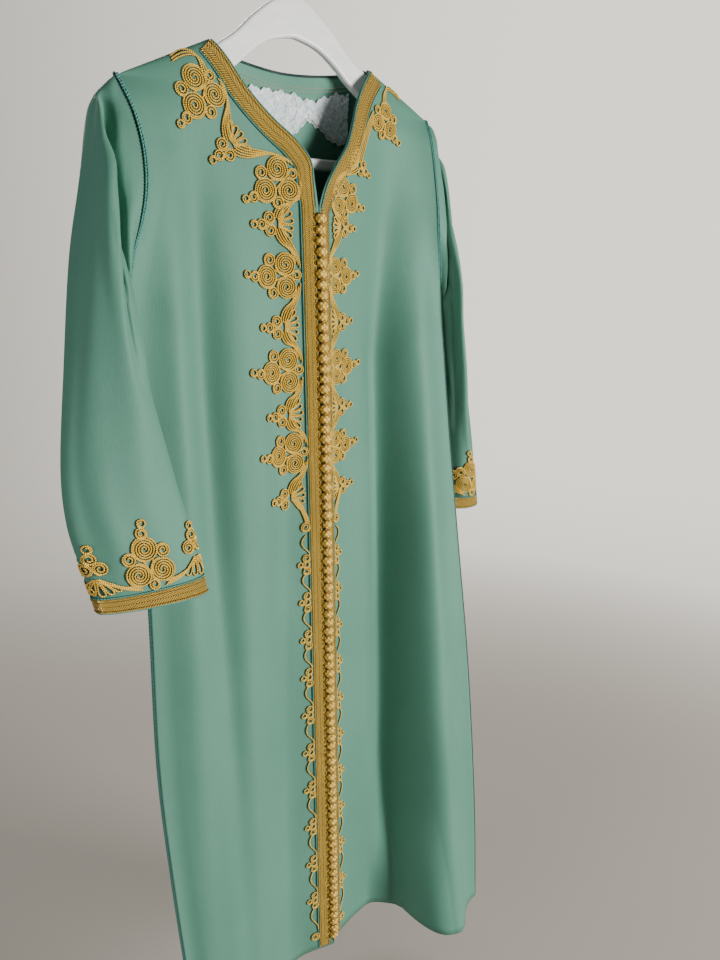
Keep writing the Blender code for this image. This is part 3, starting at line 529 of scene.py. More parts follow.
front_place = over(front_surface, -1)
back_place = over(back_surface, 1)


def sleeve_surface(side, turns, along):
    """Sleeve points with their creases, as a grid of along by turns, and their outward normals."""
    rows = SLEEVE_RIGHT_CREASES if side < 0 else SLEEVE_LEFT_CREASES
    step = 2e-3
    here = sleeve_points(side, turns, along)
    round_it = sleeve_points(side, turns + step, along) - sleeve_points(side, turns - step, along)
    down_it = sleeve_points(side, turns, along + step) - sleeve_points(side, turns, along - step)
    out = unit(np.cross(round_it, down_it) * side)
    a, b = np.meshgrid(turns % 1.0, along)
    keep = ease(0.0, 0.10, b) * ease(1.0, 0.90, b)
    lift = (creased(a, b, rows) + rumple(a * 0.4, b * 0.4) * 1.4) * keep
    return here + out * lift[..., None], out


class SleeveCover:
    """Finds points over a sleeve near its cuff from a fine grid that is worked out once, and keeps the
    length round the cloth 20 mm up from the cuff."""

    def __init__(self, side):
        self.turns = np.arange(-12, 133) / 120
        self.along = np.linspace(0.70, 1.0, 90)
        self.points, self.out = sleeve_surface(side, self.turns, self.along)
        steps = np.linalg.norm(np.diff(self.points[::-1], axis=0), axis=-1)
        run = np.concatenate([np.zeros((1, len(self.turns))), np.cumsum(steps, axis=0)])
        self.reach = run[-1]
        self.rise = (run / self.reach).mean(1)
        self.fine = np.linspace(-0.5, 1.5, 961)
        circle = np.stack([self.fine % 1.0, 0 * self.fine + 0.02], -1)
        self.round = length_run(self.place(circle, np.float64(0))[0])
        self.length = self.round[-1] / 2
        self.round -= np.interp(0.0, self.fine, self.round)

    def turn_at(self, turn, aside=0.0):
        """The turn that stands a distance aside of another, measured along the cloth."""
        return np.interp(self.run_at(turn) + aside, self.round, self.fine)

    def run_at(self, turn):
        """Length round the cloth from turn 0 to a turn."""
        return np.interp(turn, self.fine, self.round)

    def place(self, flat, height):
        """flat holds the turn and the distance up from the cuff's edge."""
        column = (flat[..., 0] % 1.0 - self.turns[0]) / (self.turns[1] - self.turns[0])
        c = np.clip(column.astype(int), 0, len(self.turns) - 2)
        row = np.interp(flat[..., 1] / self.reach[c], self.rise, np.arange(len(self.along))[::-1])
        r = np.clip(row.astype(int), 0, len(self.along) - 2)
        s, t = (column - c)[..., None], (row - r)[..., None]
        point, out = [(field[r, c] * (1 - s) + field[r, c + 1] * s) * (1 - t)
                      + (field[r + 1, c] * (1 - s) + field[r + 1, c + 1] * s) * t
                      for field in (self.points, self.out)]
        out = unit(out)
        return point + out * np.asarray(height)[..., None], out


# ---------------------------------------------------------------- finishes
class Number:
    """A socket of a material's graph that can be used in sums."""

    def __init__(self, graph, socket):
        self.graph, self.socket = graph, socket

    def of(self, operation, other=0.0, swap=False):
        """The result of a maths node on this number and another."""
        first, second = (other, self) if swap else (self, other)
        node = self.graph.add("ShaderNodeMath", {"operation": operation}, {0: first, 1: second})
        return self.graph.number(node)

    def __add__(self, other):
        return self.of("ADD", other)

    def __sub__(self, other):
        return self.of("SUBTRACT", other)

    def __rsub__(self, other):
        return self.of("SUBTRACT", other, True)

    def __mul__(self, other):
        return self.of("MULTIPLY", other)

    __radd__ = __add__
    __rmul__ = __mul__

    def ridges(self):
        """Half a sine over each whole number."""
        return (self.of("FRACT") * math.pi).of("SINE")


class Finish:
    """A material whose nodes are added one at a time."""

    def __init__(self, name, **constants):
        self.made = bpy.data.materials.new(name)
        self.made.use_nodes = True
        self.tree = self.made.node_tree
        self.shader = self.tree.nodes["Principled BSDF"]
        for socket, value in constants.items():
            self.shader.inputs[socket.replace("_", " ")].default_value = value

    def add(self, kind, settings=None, inputs=None):
        """A new node with its settings, a ramp's stops, and its inputs joined or set."""
        node = self.tree.nodes.new(kind)
        for key, value in (settings or {}).items():
            if key == "stops":
                ramp = node.color_ramp
                while len(ramp.elements) < len(value):
                    ramp.elements.new(0.5)
                for element, (position, colour) in zip(ramp.elements, value):
                    element.position = position
                    element.color = (*colour, 1.0)
            else:
                setattr(node, key, value)
        for key, value in (inputs or {}).items():
            if isinstance(value, Number):
                self.tree.links.new(value.socket, node.inputs[key])
            elif value is not None:
                node.inputs[key].default_value = value
        return node

    def number(self, node, output=0):
        """One output of a node, ready for sums."""
        return Number(self, node.outputs[output])

    def drive(self, socket, value):
        """Let a number drive one input of the surface."""
        self.tree.links.new(value.socket, self.shader.inputs[socket])

    def place(self, scale=(1, 1, 1)):
        """The piece's own coordinates, stretched by a scale."""
        where = self.number(self.add("ShaderNodeTexCoord"), "Object")
        return self.number(self.add("ShaderNodeMapping", None, {"Vector": where, "Scale": scale}))

    def noise(self, where, scale, detail=2.0, roughness=0.5):
        """Smooth uneven values from 0 to 1."""
        inputs = {"Vector": where, "Scale": scale, "Detail": detail, "Roughness": roughness}
        return self.number(self.add("ShaderNodeTexNoise", None, inputs))

    def colours(self, factor, *stops):
        """A colour ramp over a factor; each stop is a place and a colour."""
        return self.number(self.add("ShaderNodeValToRGB", {"stops": stops}, {0: factor}))

    def bump(self, height, distance, strength=1.0, under=None):
        """Normals tilted by a height, over those of another bump if one is given."""
        inputs = {"Height": height, "Distance": distance, "Strength": strength}
        if under is not None:
            inputs["Normal"] = under
        return self.number(self.add("ShaderNodeBump", None, inputs))


def uv_run(finish):
    """The length run along a cord or braid in centimetres, and the share round or across it."""
    corners = finish.number(finish.add("ShaderNodeUVMap", {"uv_map": "UVMap"}))
    parts = finish.add("ShaderNodeSeparateXYZ", None, {0: corners})
    return finish.number(parts, 0), finish.number(parts, 1)


def crepe():
    """Sea-green satin-backed crepe: pebbled grain, long thread lines and slow changes of tone."""
    f = Finish("green crepe", Roughness=0.6, Metallic=0.12, Sheen_Weight=0.03, Sheen_Roughness=0.4,
               Specular_IOR_Level=0.15)
    f.shader.inputs["Sheen Tint"].default_value = (0.75, 1.0, 0.9, 1)
    where = f.place()
    broad = f.noise(where, 9.0, 3.0)
    threads = f.noise(f.place((1500, 1500, 90)), 1.0, 2.0)
    grain = f.noise(where, 1500.0, 3.0, 0.6)
    tone = broad * 0.5 + threads * 0.32 + grain * 0.18
    f.drive("Base Color", f.colours(tone, (0.30, (0.084, 0.226, 0.162)), (0.70, (0.112, 0.275, 0.203))))
    f.drive("Roughness", 0.52 + grain * 0.16)
    soft = f.bump(f.noise(where, 34.0, 2.0), 0.0011, 0.35)
    lines = f.bump(threads, 0.00016, 0.55, soft)
    f.drive("Normal", f.bump(grain, 0.00022, 0.6, lines))
    return f.made


def twisted(name, dark, light, twists, roughness=0.42, depth=0.0003, metallic=0.0):
    """Cord of a few threads laid in a twist: slanting grooves run round it. Its colour holds painted light
    and shade: the top of the cord is painted lighter, its sides and underside darker, and the grooves are
    painted darker as shade. dark is the shaded colour and light the lit one.
    """
    f = Finish(name, Roughness=roughness, Sheen_Weight=0.08, Metallic=metallic)
    middle = tuple(0.25 * d + 0.50 * b for d, b in zip(dark, light))
    run, share = uv_run(f)
    # The slanting grooves are bumped, and their tone is also painted darker as shade in the grooves.
    ridge = (run * twists + share * 1.0).ridges()
    fuzz = f.noise(f.place(), 900.0, 2.0)
    broad = f.noise(f.place(), 22.0, 2.0)
    # Painted light and shade: lighter along the top of the cord, darker on its sides and underside.
    crown = (share * 2 * math.pi).of("SINE")
    tone = crown * 0.62 + ridge * 0.24 + fuzz * 0.14 + broad * 0.14
    f.drive("Base Color", f.colours(tone, (0.34, dark), (0.62, middle), (0.80, light)))
    f.drive("Roughness", roughness + 0.2 * fuzz)
    f.drive("Normal", f.bump(ridge + fuzz * 0.3, depth, 0.9))
    return f.made


# Gold thread's colours, from its painted shade through its middle tone to its painted highlight.
GOLD_SHADED_TO_LIT = ((0.040, 0.013, 0.001), (0.55, 0.31, 0.045), (1.0, 0.66, 0.11))


def herringbone():
    """Flat braid: chevrons that meet at the middle, between two plain cords along the edges. The furrows
    between the chevrons and the grooves beside the edge cords are painted darker as shade, and the chevron
    crests lighter as painted light.
    """
    f = Finish("herringbone braid", Roughness=0.30, Sheen_Weight=0.04, Metallic=0.28)
    run, share = uv_run(f)
    off = (share - 0.5).of("ABSOLUTE")
    # Chevron crests painted lighter and the furrows between them painted darker as shade.
    ridge = (run * 6.4 + off * 6.0).ridges()
    fine = (run * 13.0 - off * 26.0).ridges()
    spine = 1 - (off * 16.0).of("MINIMUM", 1.0)
    # Painted shade in the groove between each edge cord and the chevrons, which is also bumped in.
    shaded_groove = 1 - ((off - 0.325).of("ABSOLUTE") * 26.0).of("MINIMUM", 1.0)
    fuzz = f.noise(f.place(), 1100.0, 2.0)
    broad = f.noise(f.place(), 30.0)
    tone = ridge * 0.72 + fine * 0.16 + fuzz * 0.16 + broad * 0.16 - spine * 0.3 - shaded_groove * 0.6
    f.drive("Base Color", f.colours(tone, *zip((0.28, 0.56, 0.82), GOLD_SHADED_TO_LIT)))
    f.drive("Roughness", 0.20 + 0.2 * fuzz)
    f.drive("Normal", f.bump(ridge + fine * 0.3 + fuzz * 0.2 - shaded_groove, 0.0011, 1.0))
    return f.made


def knot_thread():
    """Thread of the knotted buttons: crossing strands, with painted shade between the strands and towards the
    top and bottom of each knot, where two knots meet.
    """
    f = Finish("knotted silk", Roughness=0.30, Sheen_Weight=0.04, Metallic=0.28)
    run, share = uv_run(f)
    # Painted shade between the crossing strands: their crests are lighter, the gaps darker.
    weave = (share * 5.0 + run * 0.7 + 0.4).ridges() * (share * 5.0 - run * 0.7 + 0.6).ridges()
    strand = (run * 6.0 + share * 12.0).ridges()
    # Painted shade: darker towards the top and bottom of each knot, where it meets its neighbour.
    ends = (run - math.pi / 2).of("ABSOLUTE")
    fuzz = f.noise(f.place(), 1000.0, 2.0)
    tone = 0.42 + weave * 0.5 + strand * 0.14 + fuzz * 0.16 - ends * 0.34
    f.drive("Base Color", f.colours(tone, *zip((0.22, 0.52, 0.80), GOLD_SHADED_TO_LIT)))
    f.drive("Roughness", 0.26 + 0.22 * fuzz)
    f.drive("Normal", f.bump(weave + strand * 0.3 + fuzz * 0.3, 0.0006, 1.0))
    return f.made


def backing_cloth():
    """White open-weave stiffener with a pale blue cast."""
    f = Finish("white stiffener", Roughness=0.75, Sheen_Weight=0.2)
    inputs = {"Vector": f.place(), "Scale": 210.0}
    web = f.number(f.add("ShaderNodeTexVoronoi", {"feature": "DISTANCE_TO_EDGE"}, inputs))
    cell = (web * 6.0).of("MINIMUM", 1.0)
    f.drive("Base Color", f.colours(cell, (0.1, (0.95, 0.97, 0.98)), (0.9, (0.66, 0.78, 0.82))))
    f.drive("Normal", f.bump(1 - cell, 0.0007, 0.9))
    return f.made


def plastic():
    """Moulded white plastic with faint scuffs."""
    f = Finish("white plastic", Roughness=0.32, Coat_Weight=0.15)
    scuff = f.noise(f.place((1, 1, 3)), 60.0, 4.0, 0.6)
    f.drive("Base Color", f.colours(scuff, (0.35, (0.88, 0.88, 0.87)), (0.65, (0.95, 0.95, 0.94))))
    f.drive("Roughness", 0.26 + 0.16 * scuff)
    f.drive("Normal", f.bump(f.noise(f.place(), 90.0, 2.0), 0.00012, 0.12))
    return f.made


def wire():
    """Plated steel wire, drawn lengthwise."""
    f = Finish("plated wire", Metallic=1.0, Roughness=0.22)
    drawn = f.noise(f.place((900, 900, 40)), 1.0, 2.0)
    f.drive("Base Color", f.colours(drawn, (0.3, (0.55, 0.55, 0.57)), (0.7, (0.70, 0.70, 0.71))))
    f.drive("Roughness", 0.16 + 0.16 * drawn)
    return f.made


CREPE = crepe()
# Each cord gets its painted shade colour first and its painted highlight colour second.
GOLD_CORD = twisted("gold cord", (0.030, 0.010, 0.001), (1.0, 0.63, 0.08), 6.0, 0.26, 0.0008, 0.32)
EDGE_CORD = twisted("gold edge cord", (0.030, 0.010, 0.001), (0.98, 0.60, 0.07), 6.0, 0.28, 0.0008, 0.32)
TEAL_CORD = twisted("dark green silk", (0.003, 0.034, 0.031), (0.060, 0.27, 0.215), 5.0, 0.42)
PALE_STITCH = twisted("pale stitch thread", (0.42, 0.40, 0.30), (0.72, 0.70, 0.58), 8.0, 0.55)
BRAID = herringbone()
KNOT = knot_thread()
STIFFENER = backing_cloth()
PLASTIC = plastic()
WIRE = wire()

# ---------------------------------------------------------------- cloth
BODY_SHARE = np.concatenate([np.linspace(0.0, 0.8, 96, endpoint=False),
                             1 - 0.2 * np.linspace(1.0, 0.0, 46) ** 1.6])
HEM_DEPTH = 0.016


def seam_parting(across, share):
    """Half of the clearance between front and back, wanted only where the two meet."""
    at_side = (across ** 12)[None, :] * np.ones(len(share))[:, None]
    at_top = (share ** 60)[:, None] * np.ones(len(across))[None, :]
    return 0.0009 * np.maximum(at_side, at_top)


def hem_fold(share):
    """The turned-up hem stands a little proud, with a dip along its stitching."""
    height = share * COLLAR_HEIGHT
    proud = 0.00055 * ease(HEM_DEPTH + 0.002, HEM_DEPTH - 0.001, height)
    return proud - 0.0005 * np.exp(-((height - HEM_DEPTH) / 0.0012) ** 2)


def front_cloth(side):
    """Columns run from the centre front and neck edge to the side seam and armhole. They crowd, by a
    bell, where the wearer's left has its deep fold, and near the hem that fold tucks in by a half sine."""
    share = BODY_SHARE
    outer_z = np.interp(share, (0, 0.8, 1), (0, ARMPIT_HEIGHT, SHOULDER_HEIGHT))
    inner_z = np.interp(share, (0, 0.8, 1), (0, PLACKET_TOP, COLLAR_HEIGHT))
    outer_x = side_edge("x", side, outer_z)
    inner_x = neck_edge(side, inner_z)
    evenly_set = np.linspace(0, 1, 400)
    crowding = np.cumsum(1 + 5 * (side > 0) * np.exp(-((evenly_set - 0.62) / 0.06) ** 2))
    across = np.interp(np.linspace(crowding[0], crowding[-1], 112), crowding, evenly_set)
    x = inner_x[:, None] * (1 - across) + outer_x[:, None] * across
    z = inner_z[:, None] * (1 - across) + outer_z[:, None] * across
    y = front_surface(x, z) - seam_parting(across, share) - hem_fold(share)[:, None]
    rise = np.clip((x - 0.104) / 0.026, 0, 1)
    tuck = -0.0075 * ease(0.16, 0.02, z) * np.sin(np.pi * rise) ** 0.9
    z = z + droop_of_hem(x) * (1 - share[:, None]) ** 2
    return np.stack([x + np.where(side > 0, tuck, 0.0), y, z], -1)


def back_cloth():
    """Columns run from armhole to armhole; the top row follows shoulder, neck and shoulder."""
    share = BODY_SHARE[:, None]
    across = np.sin(np.linspace(-1, 1, 149) * 1.25) / math.sin(1.25)
    across = across[None, :]
    top_x = across * SHOULDER_HALF
    top_z = np.where(np.abs(top_x) < COLLAR_HALF + 0.0005, back_neck_height(top_x),
                     COLLAR_HEIGHT - SHOULDER_SLOPE * (np.abs(top_x) - COLLAR_HALF))
    edge_z = np.interp(share, (0, 0.8, 1), (0, ARMPIT_HEIGHT, SHOULDER_HEIGHT))
    armpit_z = ARMPIT_HEIGHT + (top_z - ARMPIT_HEIGHT) * 0.20 * (1 - np.abs(across) ** 3)
    z = np.where(share < 0.8, armpit_z * share / 0.8, armpit_z + (top_z - armpit_z) * (share - 0.8) / 0.2)
    edge_x = np.where(across < 0, -side_edge("x", -1, edge_z), side_edge("x", 1, edge_z))
    narrow = np.clip(share, 0, 1) ** 8
    x = across * (edge_x * (1 - narrow) + np.where(np.abs(across) > 0.99, edge_x, SHOULDER_HALF) * narrow)
    y = back_surface(x, z) + seam_parting(np.abs(across[0]), share[:, 0]) + hem_fold(share[:, 0])[:, None]
    z = z + droop_of_hem(x) * (1 - share) ** 2
    return np.stack([x, y, z], -1)


SIDES = ((-1, "right"), (1, "left"))
for side, tag in SIDES:
    panel = cloth("front_cloth_" + tag, front_cloth(side), CREPE, flip=side > 0)
    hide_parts("front_panel_" + tag)
    points, _ = sleeve_surface(side, np.arange(104) / 104, np.linspace(0, 1, 112))
    sleeve = cloth("sleeve_cloth_" + tag, points, CREPE, ring=True, flip=side < 0)
    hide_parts("sleeve_" + tag)
back = cloth("back_cloth", back_cloth(), CREPE, flip=True)
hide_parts("back_panel")

# ---------------------------------------------------------------- braid
OVER = CLOTH / 2 + 0.0002
WHIP_PITCH = 0.0021       # from stitch to stitch of the cord beside a braid
NECK_EXTRA = 0.0026       # the braid is a little wider round the neck than down the placket


BRAID_ACROSS = np.array([0, 0.012, 0.05, 0.10, 0.15, 0.18, 0.25, 0.38, 0.5,
                         0.62, 0.75, 0.82, 0.85, 0.90, 0.95, 0.988, 1.0])


def braid_profile(height=0.0016):
    """Height of a flat braid over its width: a half circle for the plain cord along each edge, a low
    cosine crown between, and the rim down on the cloth."""
    share = np.abs(BRAID_ACROSS - 0.5) * 2
    profile = np.where(share > 0.66, 0.30 + 0.75 * np.sqrt(np.clip(1 - ((share - 0.81) / 0.17) ** 2, 0, 1)),
                       0.62 + 0.16 * np.cos(share * 2.0))
    profile[[0, -1]] = 0.0
    return OVER + profile * height


def braid_mesh(place, middle, into, width, step=0.0010, neck_extra=0.0):
    """A flat braid along a line on a surface, its width laid off from the line into the cloth."""
    line = evenly(np.concatenate([middle, into * MM], -1), step)
    width = np.interp(line[:, 1], (0.800, 0.840), (width, width + neck_extra))[:, None, None]
    flat = line[:, None, :2] + unit(line[:, None, 2:]) * (BRAID_ACROSS[:, None] * width)
    points, _ = place(flat, braid_profile() + 0 * flat[..., 0])
    return points, grid_faces(*points.shape[:2]), grid_uv(np.arange(len(line)) * step * 100, BRAID_ACROSS)


def front_edge_line(side, start, end, count):
    """Points down a front's neck edge and placket from one height to another, with the unit direction
    from the edge into the cloth."""
    heights = np.linspace(start, end, count)
    line = np.stack([neck_edge(side, heights), heights], -1)
    along = unit(np.gradient(line, axis=0))
    into = np.stack([side * along[:, 1], -side * along[:, 0]], -1)
    into = np.sign(np.sum(into * [side, 0.0], -1, keepdims=True) + 1e-9) * into
    for _ in range(12):
        into[1:-1] = (into[:-2] + 2 * into[1:-1] + into[2:]) / 4
    return line, unit(into)


def from_edge(side, distance, start=0.9190, end=0.003, count=500):
    """The line at a distance from a front's edge, set in a little further along the placket."""
    line, into = front_edge_line(side, start, end, count)
    inset = 0.0016 + (BRAID_INSET - 0.0016) * ease(0.830, 0.795, line[:, 1])
    widening = np.interp(line[:, 1], (0.800, 0.840), (0, NECK_EXTRA)) * (distance > 0.001)
    return line + into * (inset + widening + distance)[:, None], into


def stitched_cord(path, out, radius, thin, beats, sides=6, phase=0.0, ends=True):
    """A cord that swells as a half sine once every few points and is thin in between."""
    swell = np.abs(np.sin(np.pi * (np.arange(len(path)) / beats + phase)))
    return cord_mesh(path, out, radius * (thin + (1 - thin) * swell), sides, ends=ends)


def whip_beads(place, flat, pitch, radius, height, swell=0.45, sides=6):
    """A cord whose thickness swells at each stitch, laid along a line on a surface."""
    path = evenly(flat, pitch / 5)
    return stitched_cord(*place(path, np.full(len(path), height)), radius, 1 - swell, 5, sides)


for side, tag in SIDES:
    line, into = from_edge(side, 0.0)
    points, faces, uv = braid_mesh(front_place, line, into, BRAID_WIDTH, neck_extra=NECK_EXTRA)
    if side > 0:
        faces, uv = faces[:, ::-1], uv[:, ::-1]
    strip = new_piece("braid_" + tag, points, faces, BRAID, uv)
    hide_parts("braid_front_" + tag)
    outer, _ = from_edge(side, BRAID_WIDTH + 0.0009)
    inner, _ = from_edge(side, -0.0007, end=PLACKET_TOP)
    stitches = [whip_beads(front_place, outer, WHIP_PITCH, 0.00088, OVER + 0.0006),
                whip_beads(front_place, inner, WHIP_PITCH, 0.00080, OVER + 0.0005)]
    cords("braid_whip_" + tag, stitches, TEAL_CORD)

x = np.linspace(-0.0705, 0.0705, 200)
neck_line = np.stack([x, back_neck_height(x) - 0.0012], -1)
down = np.stack([0 * x, -np.ones_like(x)], -1)
points, faces, uv = braid_mesh(back_place, neck_line, down, BRAID_WIDTH)
strip = new_piece("braid_back", points, faces, BRAID, uv)
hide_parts("braid_back_neck")
cords("braid_whip_back",
      [whip_beads(back_place, neck_line + [0, -BRAID_WIDTH - 0.0009], WHIP_PITCH, 0.00088, OVER + 0.0006),
       whip_beads(back_place, neck_line + [0, 0.0004], WHIP_PITCH, 0.00092, 0.0),
       whip_beads(back_place, neck_line + [0, -0.0004], WHIP_PITCH, 0.00075, -OVER - 0.0002)],
      TEAL_CORD)
cords("neck_facing_stitches",
      [whip_beads(back_place, neck_line + [0, -d], 0.0030, 0.00042, -OVER + 0.0001, 0.8, 5)
       for d in (0.0095, 0.0125)],
      PALE_STITCH)

# ---------------------------------------------------------------- knotted buttons
KNOT_ROWS, KNOT_TURNS = 13, 20
BUTTON_Z = 0.010 + (np.arange(int((PLACKET_TOP - 0.012) / BUTTON_PITCH)) + 0.5) * BUTTON_PITCH


def button_knots():
    """Each knot is a ball a little wider than tall, with crossing strands raised round it: its radius
    gains the product of two slanted waves. Knots differ slightly in size and set."""
    tilt = np.pi * np.arange(KNOT_ROWS) / (KNOT_ROWS - 1)
    spin = 2 * np.pi * np.arange(KNOT_TURNS) / KNOT_TURNS
    a, b = np.meshgrid(tilt, spin, indexing="ij")
    slant = 2.2 * (a - np.pi / 2)
    weave = np.abs(np.cos(2.5 * b + slant) * np.cos(2.5 * b - slant))
    parts = []
    for i, z in enumerate(BUTTON_Z):
        wobble = math.sin(i * 2.399)
        radius = BUTTON_RADIUS * (1.05 + 0.03 * wobble) * (0.90 + 0.14 * weave)
        turned = b + 0.5 * wobble
        ball = np.stack([1.22 * radius * np.sin(a) ** 0.8 * np.cos(turned),
                         0.95 * radius * np.sin(a) ** 0.8 * np.sin(turned), 1.10 * radius * np.cos(a)], -1)
        middle = [0.0003 * math.sin(i * 1.7), front_y(0.0, z) - 0.0022, z]
        parts.append((ball + middle, *tube(tilt, np.linspace(0, 1, KNOT_TURNS, endpoint=False))))
    return parts


knots = cords("button_knots", button_knots(), KNOT)
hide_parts("button_row")


def button_loops():
    """From each knot a cord loop runs out to both braids, round under the ball and back."""
    parts = []
    t = np.linspace(-1, 1, 11)
    for z in BUTTON_Z:
        for side in (-1, 1):
            flat = np.stack([side * (0.0005 + 0.0066 * np.cos(t * 1.25)), z + 0.0029 * np.sin(t * 1.6)], -1)
            points, out = front_place(flat, OVER + 0.0009)
            parts.append(cord_mesh(points, out, 0.00078, 5))
    return parts


cords("button_loops", button_loops(), EDGE_CORD)
spine = np.stack([np.full(300, 0.0), np.linspace(0.006, 0.790, 300)], -1)
points, out = front_place(spine, np.full(300, OVER + 0.0012))
cords("button_cord", [cord_mesh(points, out, 0.0016, 8)], EDGE_CORD)

# ---------------------------------------------------------------- corded embroidery
PITCH = 2.05              # how far apart the laid cords lie, in millimetres
FIRST_TOP = 0.503


def spiral(u, w, radius, start, turn=1, arms=1, size=1.0):
    """Cord wound in to the middle: it first holds its radius, so that the ring closes, then comes in by
    one cord a turn. With two arms, each takes every other turn. size is the scale that the motif gets,
    so that the cords stay as far apart in a small motif. Gives a path in millimetres for each arm."""
    eye = 0.62 * PITCH / size
    held = 0.70 if arms == 1 else 0.30
    turns = max((radius - eye) * size / PITCH / arms, 0.5) + held
    t = np.linspace(0, 1, int(turns * 18) + 6)
    paths = []
    for arm in range(arms):
        angle = start + turn * 2 * np.pi * (turns * t + arm / arms)
        r = radius - (radius - eye) * np.clip((t * turns - held) / (turns - held), 0, 1)
        paths.append(np.stack([u + r * np.cos(angle), w + r * np.sin(angle)], -1))
    return paths


def bow(*controls, count=16):
    """A smooth stem: the Bezier curve through its control points' hull."""
    t = np.linspace(0, 1, count)[:, None]
    points = [np.asarray(c, float)[None] + 0 * t for c in controls]
    while len(points) > 1:
        points = [a * (1 - t) + b * t for a, b in zip(points[:-1], points[1:])]
    return points[0]


def teardrop(base, tip, width):
    """A narrow loop of cord: out along one side, round the tip and back along the other."""
    base, tip = np.asarray(base, float), np.asarray(tip, float)
    t = np.linspace(0, 1, 22)
    along = np.sin(np.pi * t) ** 0.85
    aside = width * np.sin(2 * np.pi * t) * (0.35 + 0.65 * along)
    direction = tip - base
    across = np.array([-direction[1], direction[0]]) / np.linalg.norm(direction)
    return base + along[:, None] * direction + aside[:, None] * across


# Spirals of each motif in millimetres: u out from the braid, w up along it, radius, the angle where the
# cord starts, which way it turns, and how many arms it has.
CLUSTER = (
    (33.0, -0.4, 9.8, math.pi, 1, 1), (14.6, 9.9, 9.6, math.pi, -1, 2), (13.8, -9.8, 9.4, math.pi, 1, 2),
    (29.6, 13.6, 5.2, -math.pi / 2, 1, 1), (27.4, -13.9, 4.9, math.pi / 2, -1, 1),
    (4.4, 0.5, 4.2, 0.0, 1, 1), (45.6, 0.0, 4.2, math.pi, -1, 1), (53.0, 1.8, 3.2, math.pi, 1, 1),
)
FAN = ((23.4, 5.0, 5.0, math.pi, 1, 1), (23.2, -5.2, 4.9, math.pi, -1, 1),
       (31.4, 0.0, 4.3, math.pi, 1, 1), (38.8, 0.6, 3.1, math.pi, -1, 1))


def motif(kind, size):
    """The cords of a motif. A cluster (1) is one big wheel, two swirls beside the braid, small curls
    between, a tip of two curls and two stems. A fan (0) is loops that spread to the braid from a palm,
    three small curls and a tip."""
    curls = [path for row in (CLUSTER if kind else FAN) for path in spiral(*row, size)]
    if kind:
        return curls + [bow((8.4, w), (14, 0.2 * w), (20, 1.6 * w), (24.6, 4.6 * w)) for w in (-0.9, 1.1)]
    ends = ((14.6, 4.6), (8.4, 2.6), (1.6, 1.4), (-5.4, 2.4), (-12.2, 4.2))
    return [teardrop((15.5, w * 0.14), (u, w), 2.5) for w, u in ends] + curls


class Placed:
    """Turns a motif's own millimetres into places on a surface: base, direction of u, size."""

    def __init__(self, base, toward, size=1.0, mirror=1):
        self.base = np.asarray(base, float)
        self.u = unit(np.asarray(toward, float) - self.base)
        self.w = mirror * np.array([-self.u[1], self.u[0]])
        self.size = size

    def __call__(self, path):
        """base + (u along the motif + w across it) times the size."""
        path = np.atleast_2d(path) * MM
        return self.base + (path[:, :1] * self.u + path[:, 1:] * self.w) * self.size


# Motifs of the fronts, from the shoulder down: kind (1 cluster, 0 fan), where the tip stands on the
# wearer's right and left, and which way the motif points, in degrees below level.
FRONT_MOTIFS = table(
    "kind x_right z_right down_right size_right x_left z_left down_left size_left",
    (1, -0.1215, 0.8490, 54, 0.98, 0.1150, 0.8560, 44, 0.80),
    (0, -0.0965, 0.8260, 38, 0.96, 0.0735, 0.8250, 30, 0.74),
    (1, -0.0690, 0.7965, 28, 1.00, 0.0675, 0.7950, 18, 0.86),
    (0, -0.0640, 0.7790, 4, 1.00, 0.0560, 0.7780, 4, 0.84),
    (1, -0.0745, 0.7370, 0, 1.00, 0.0600, 0.7360, 0, 0.84),
    (0, -0.0620, 0.6930, 0, 1.00, 0.0490, 0.6940, 0, 0.84),
    (1, -0.0760, 0.6540, 0, 1.02, 0.0600, 0.6520, 0, 0.86),
    (0, -0.0605, 0.6135, 0, 1.00, 0.0475, 0.6130, 0, 0.84),
    (1, -0.0710, 0.5770, 0, 0.98, 0.0550, 0.5750, 0, 0.82),
    (0, -0.0605, 0.5345, 0, 1.00, 0.0470, 0.5340, 0, 0.84),
)
CLUSTER_REACH = 56.4 * MM
FAN_REACH = 42.0 * MM


def laid(place, paths, step=0.0012, lift=0.00080, flat=0.95):
    """Lay cords along paths of surface places; each is resampled and lies on the cloth."""
    return [cord_mesh(*place(evenly(path, step), np.float64(OVER + lift)), CORD, 6, flat) for path in paths]


def stems(here, there, sign):
    """The strands from a fan's palm up (1) or down (-1) to its neighbour, each a cubic bow."""
    strands = 5 if here.size > 0.9 else 4
    gap = 1.0 / here.size
    for k in range(strands):
        root = there((0.8 + 1.7 * gap * k, -sign * (6.0 + 2.9 * k)))
        lead = there((0.4 + 1.9 * gap * k, -sign * (21.0 + 1.2 * k)))
        draw = here((8.6 + 2.3 * gap * k, sign * (14.0 + 1.6 * k)))
        palm = here((19.2 - 1.8 * gap * (strands - 1 - k), sign * (0.6 + 1.1 * k)))
        yield bow(root[0], lead[0], draw[0], palm[0])


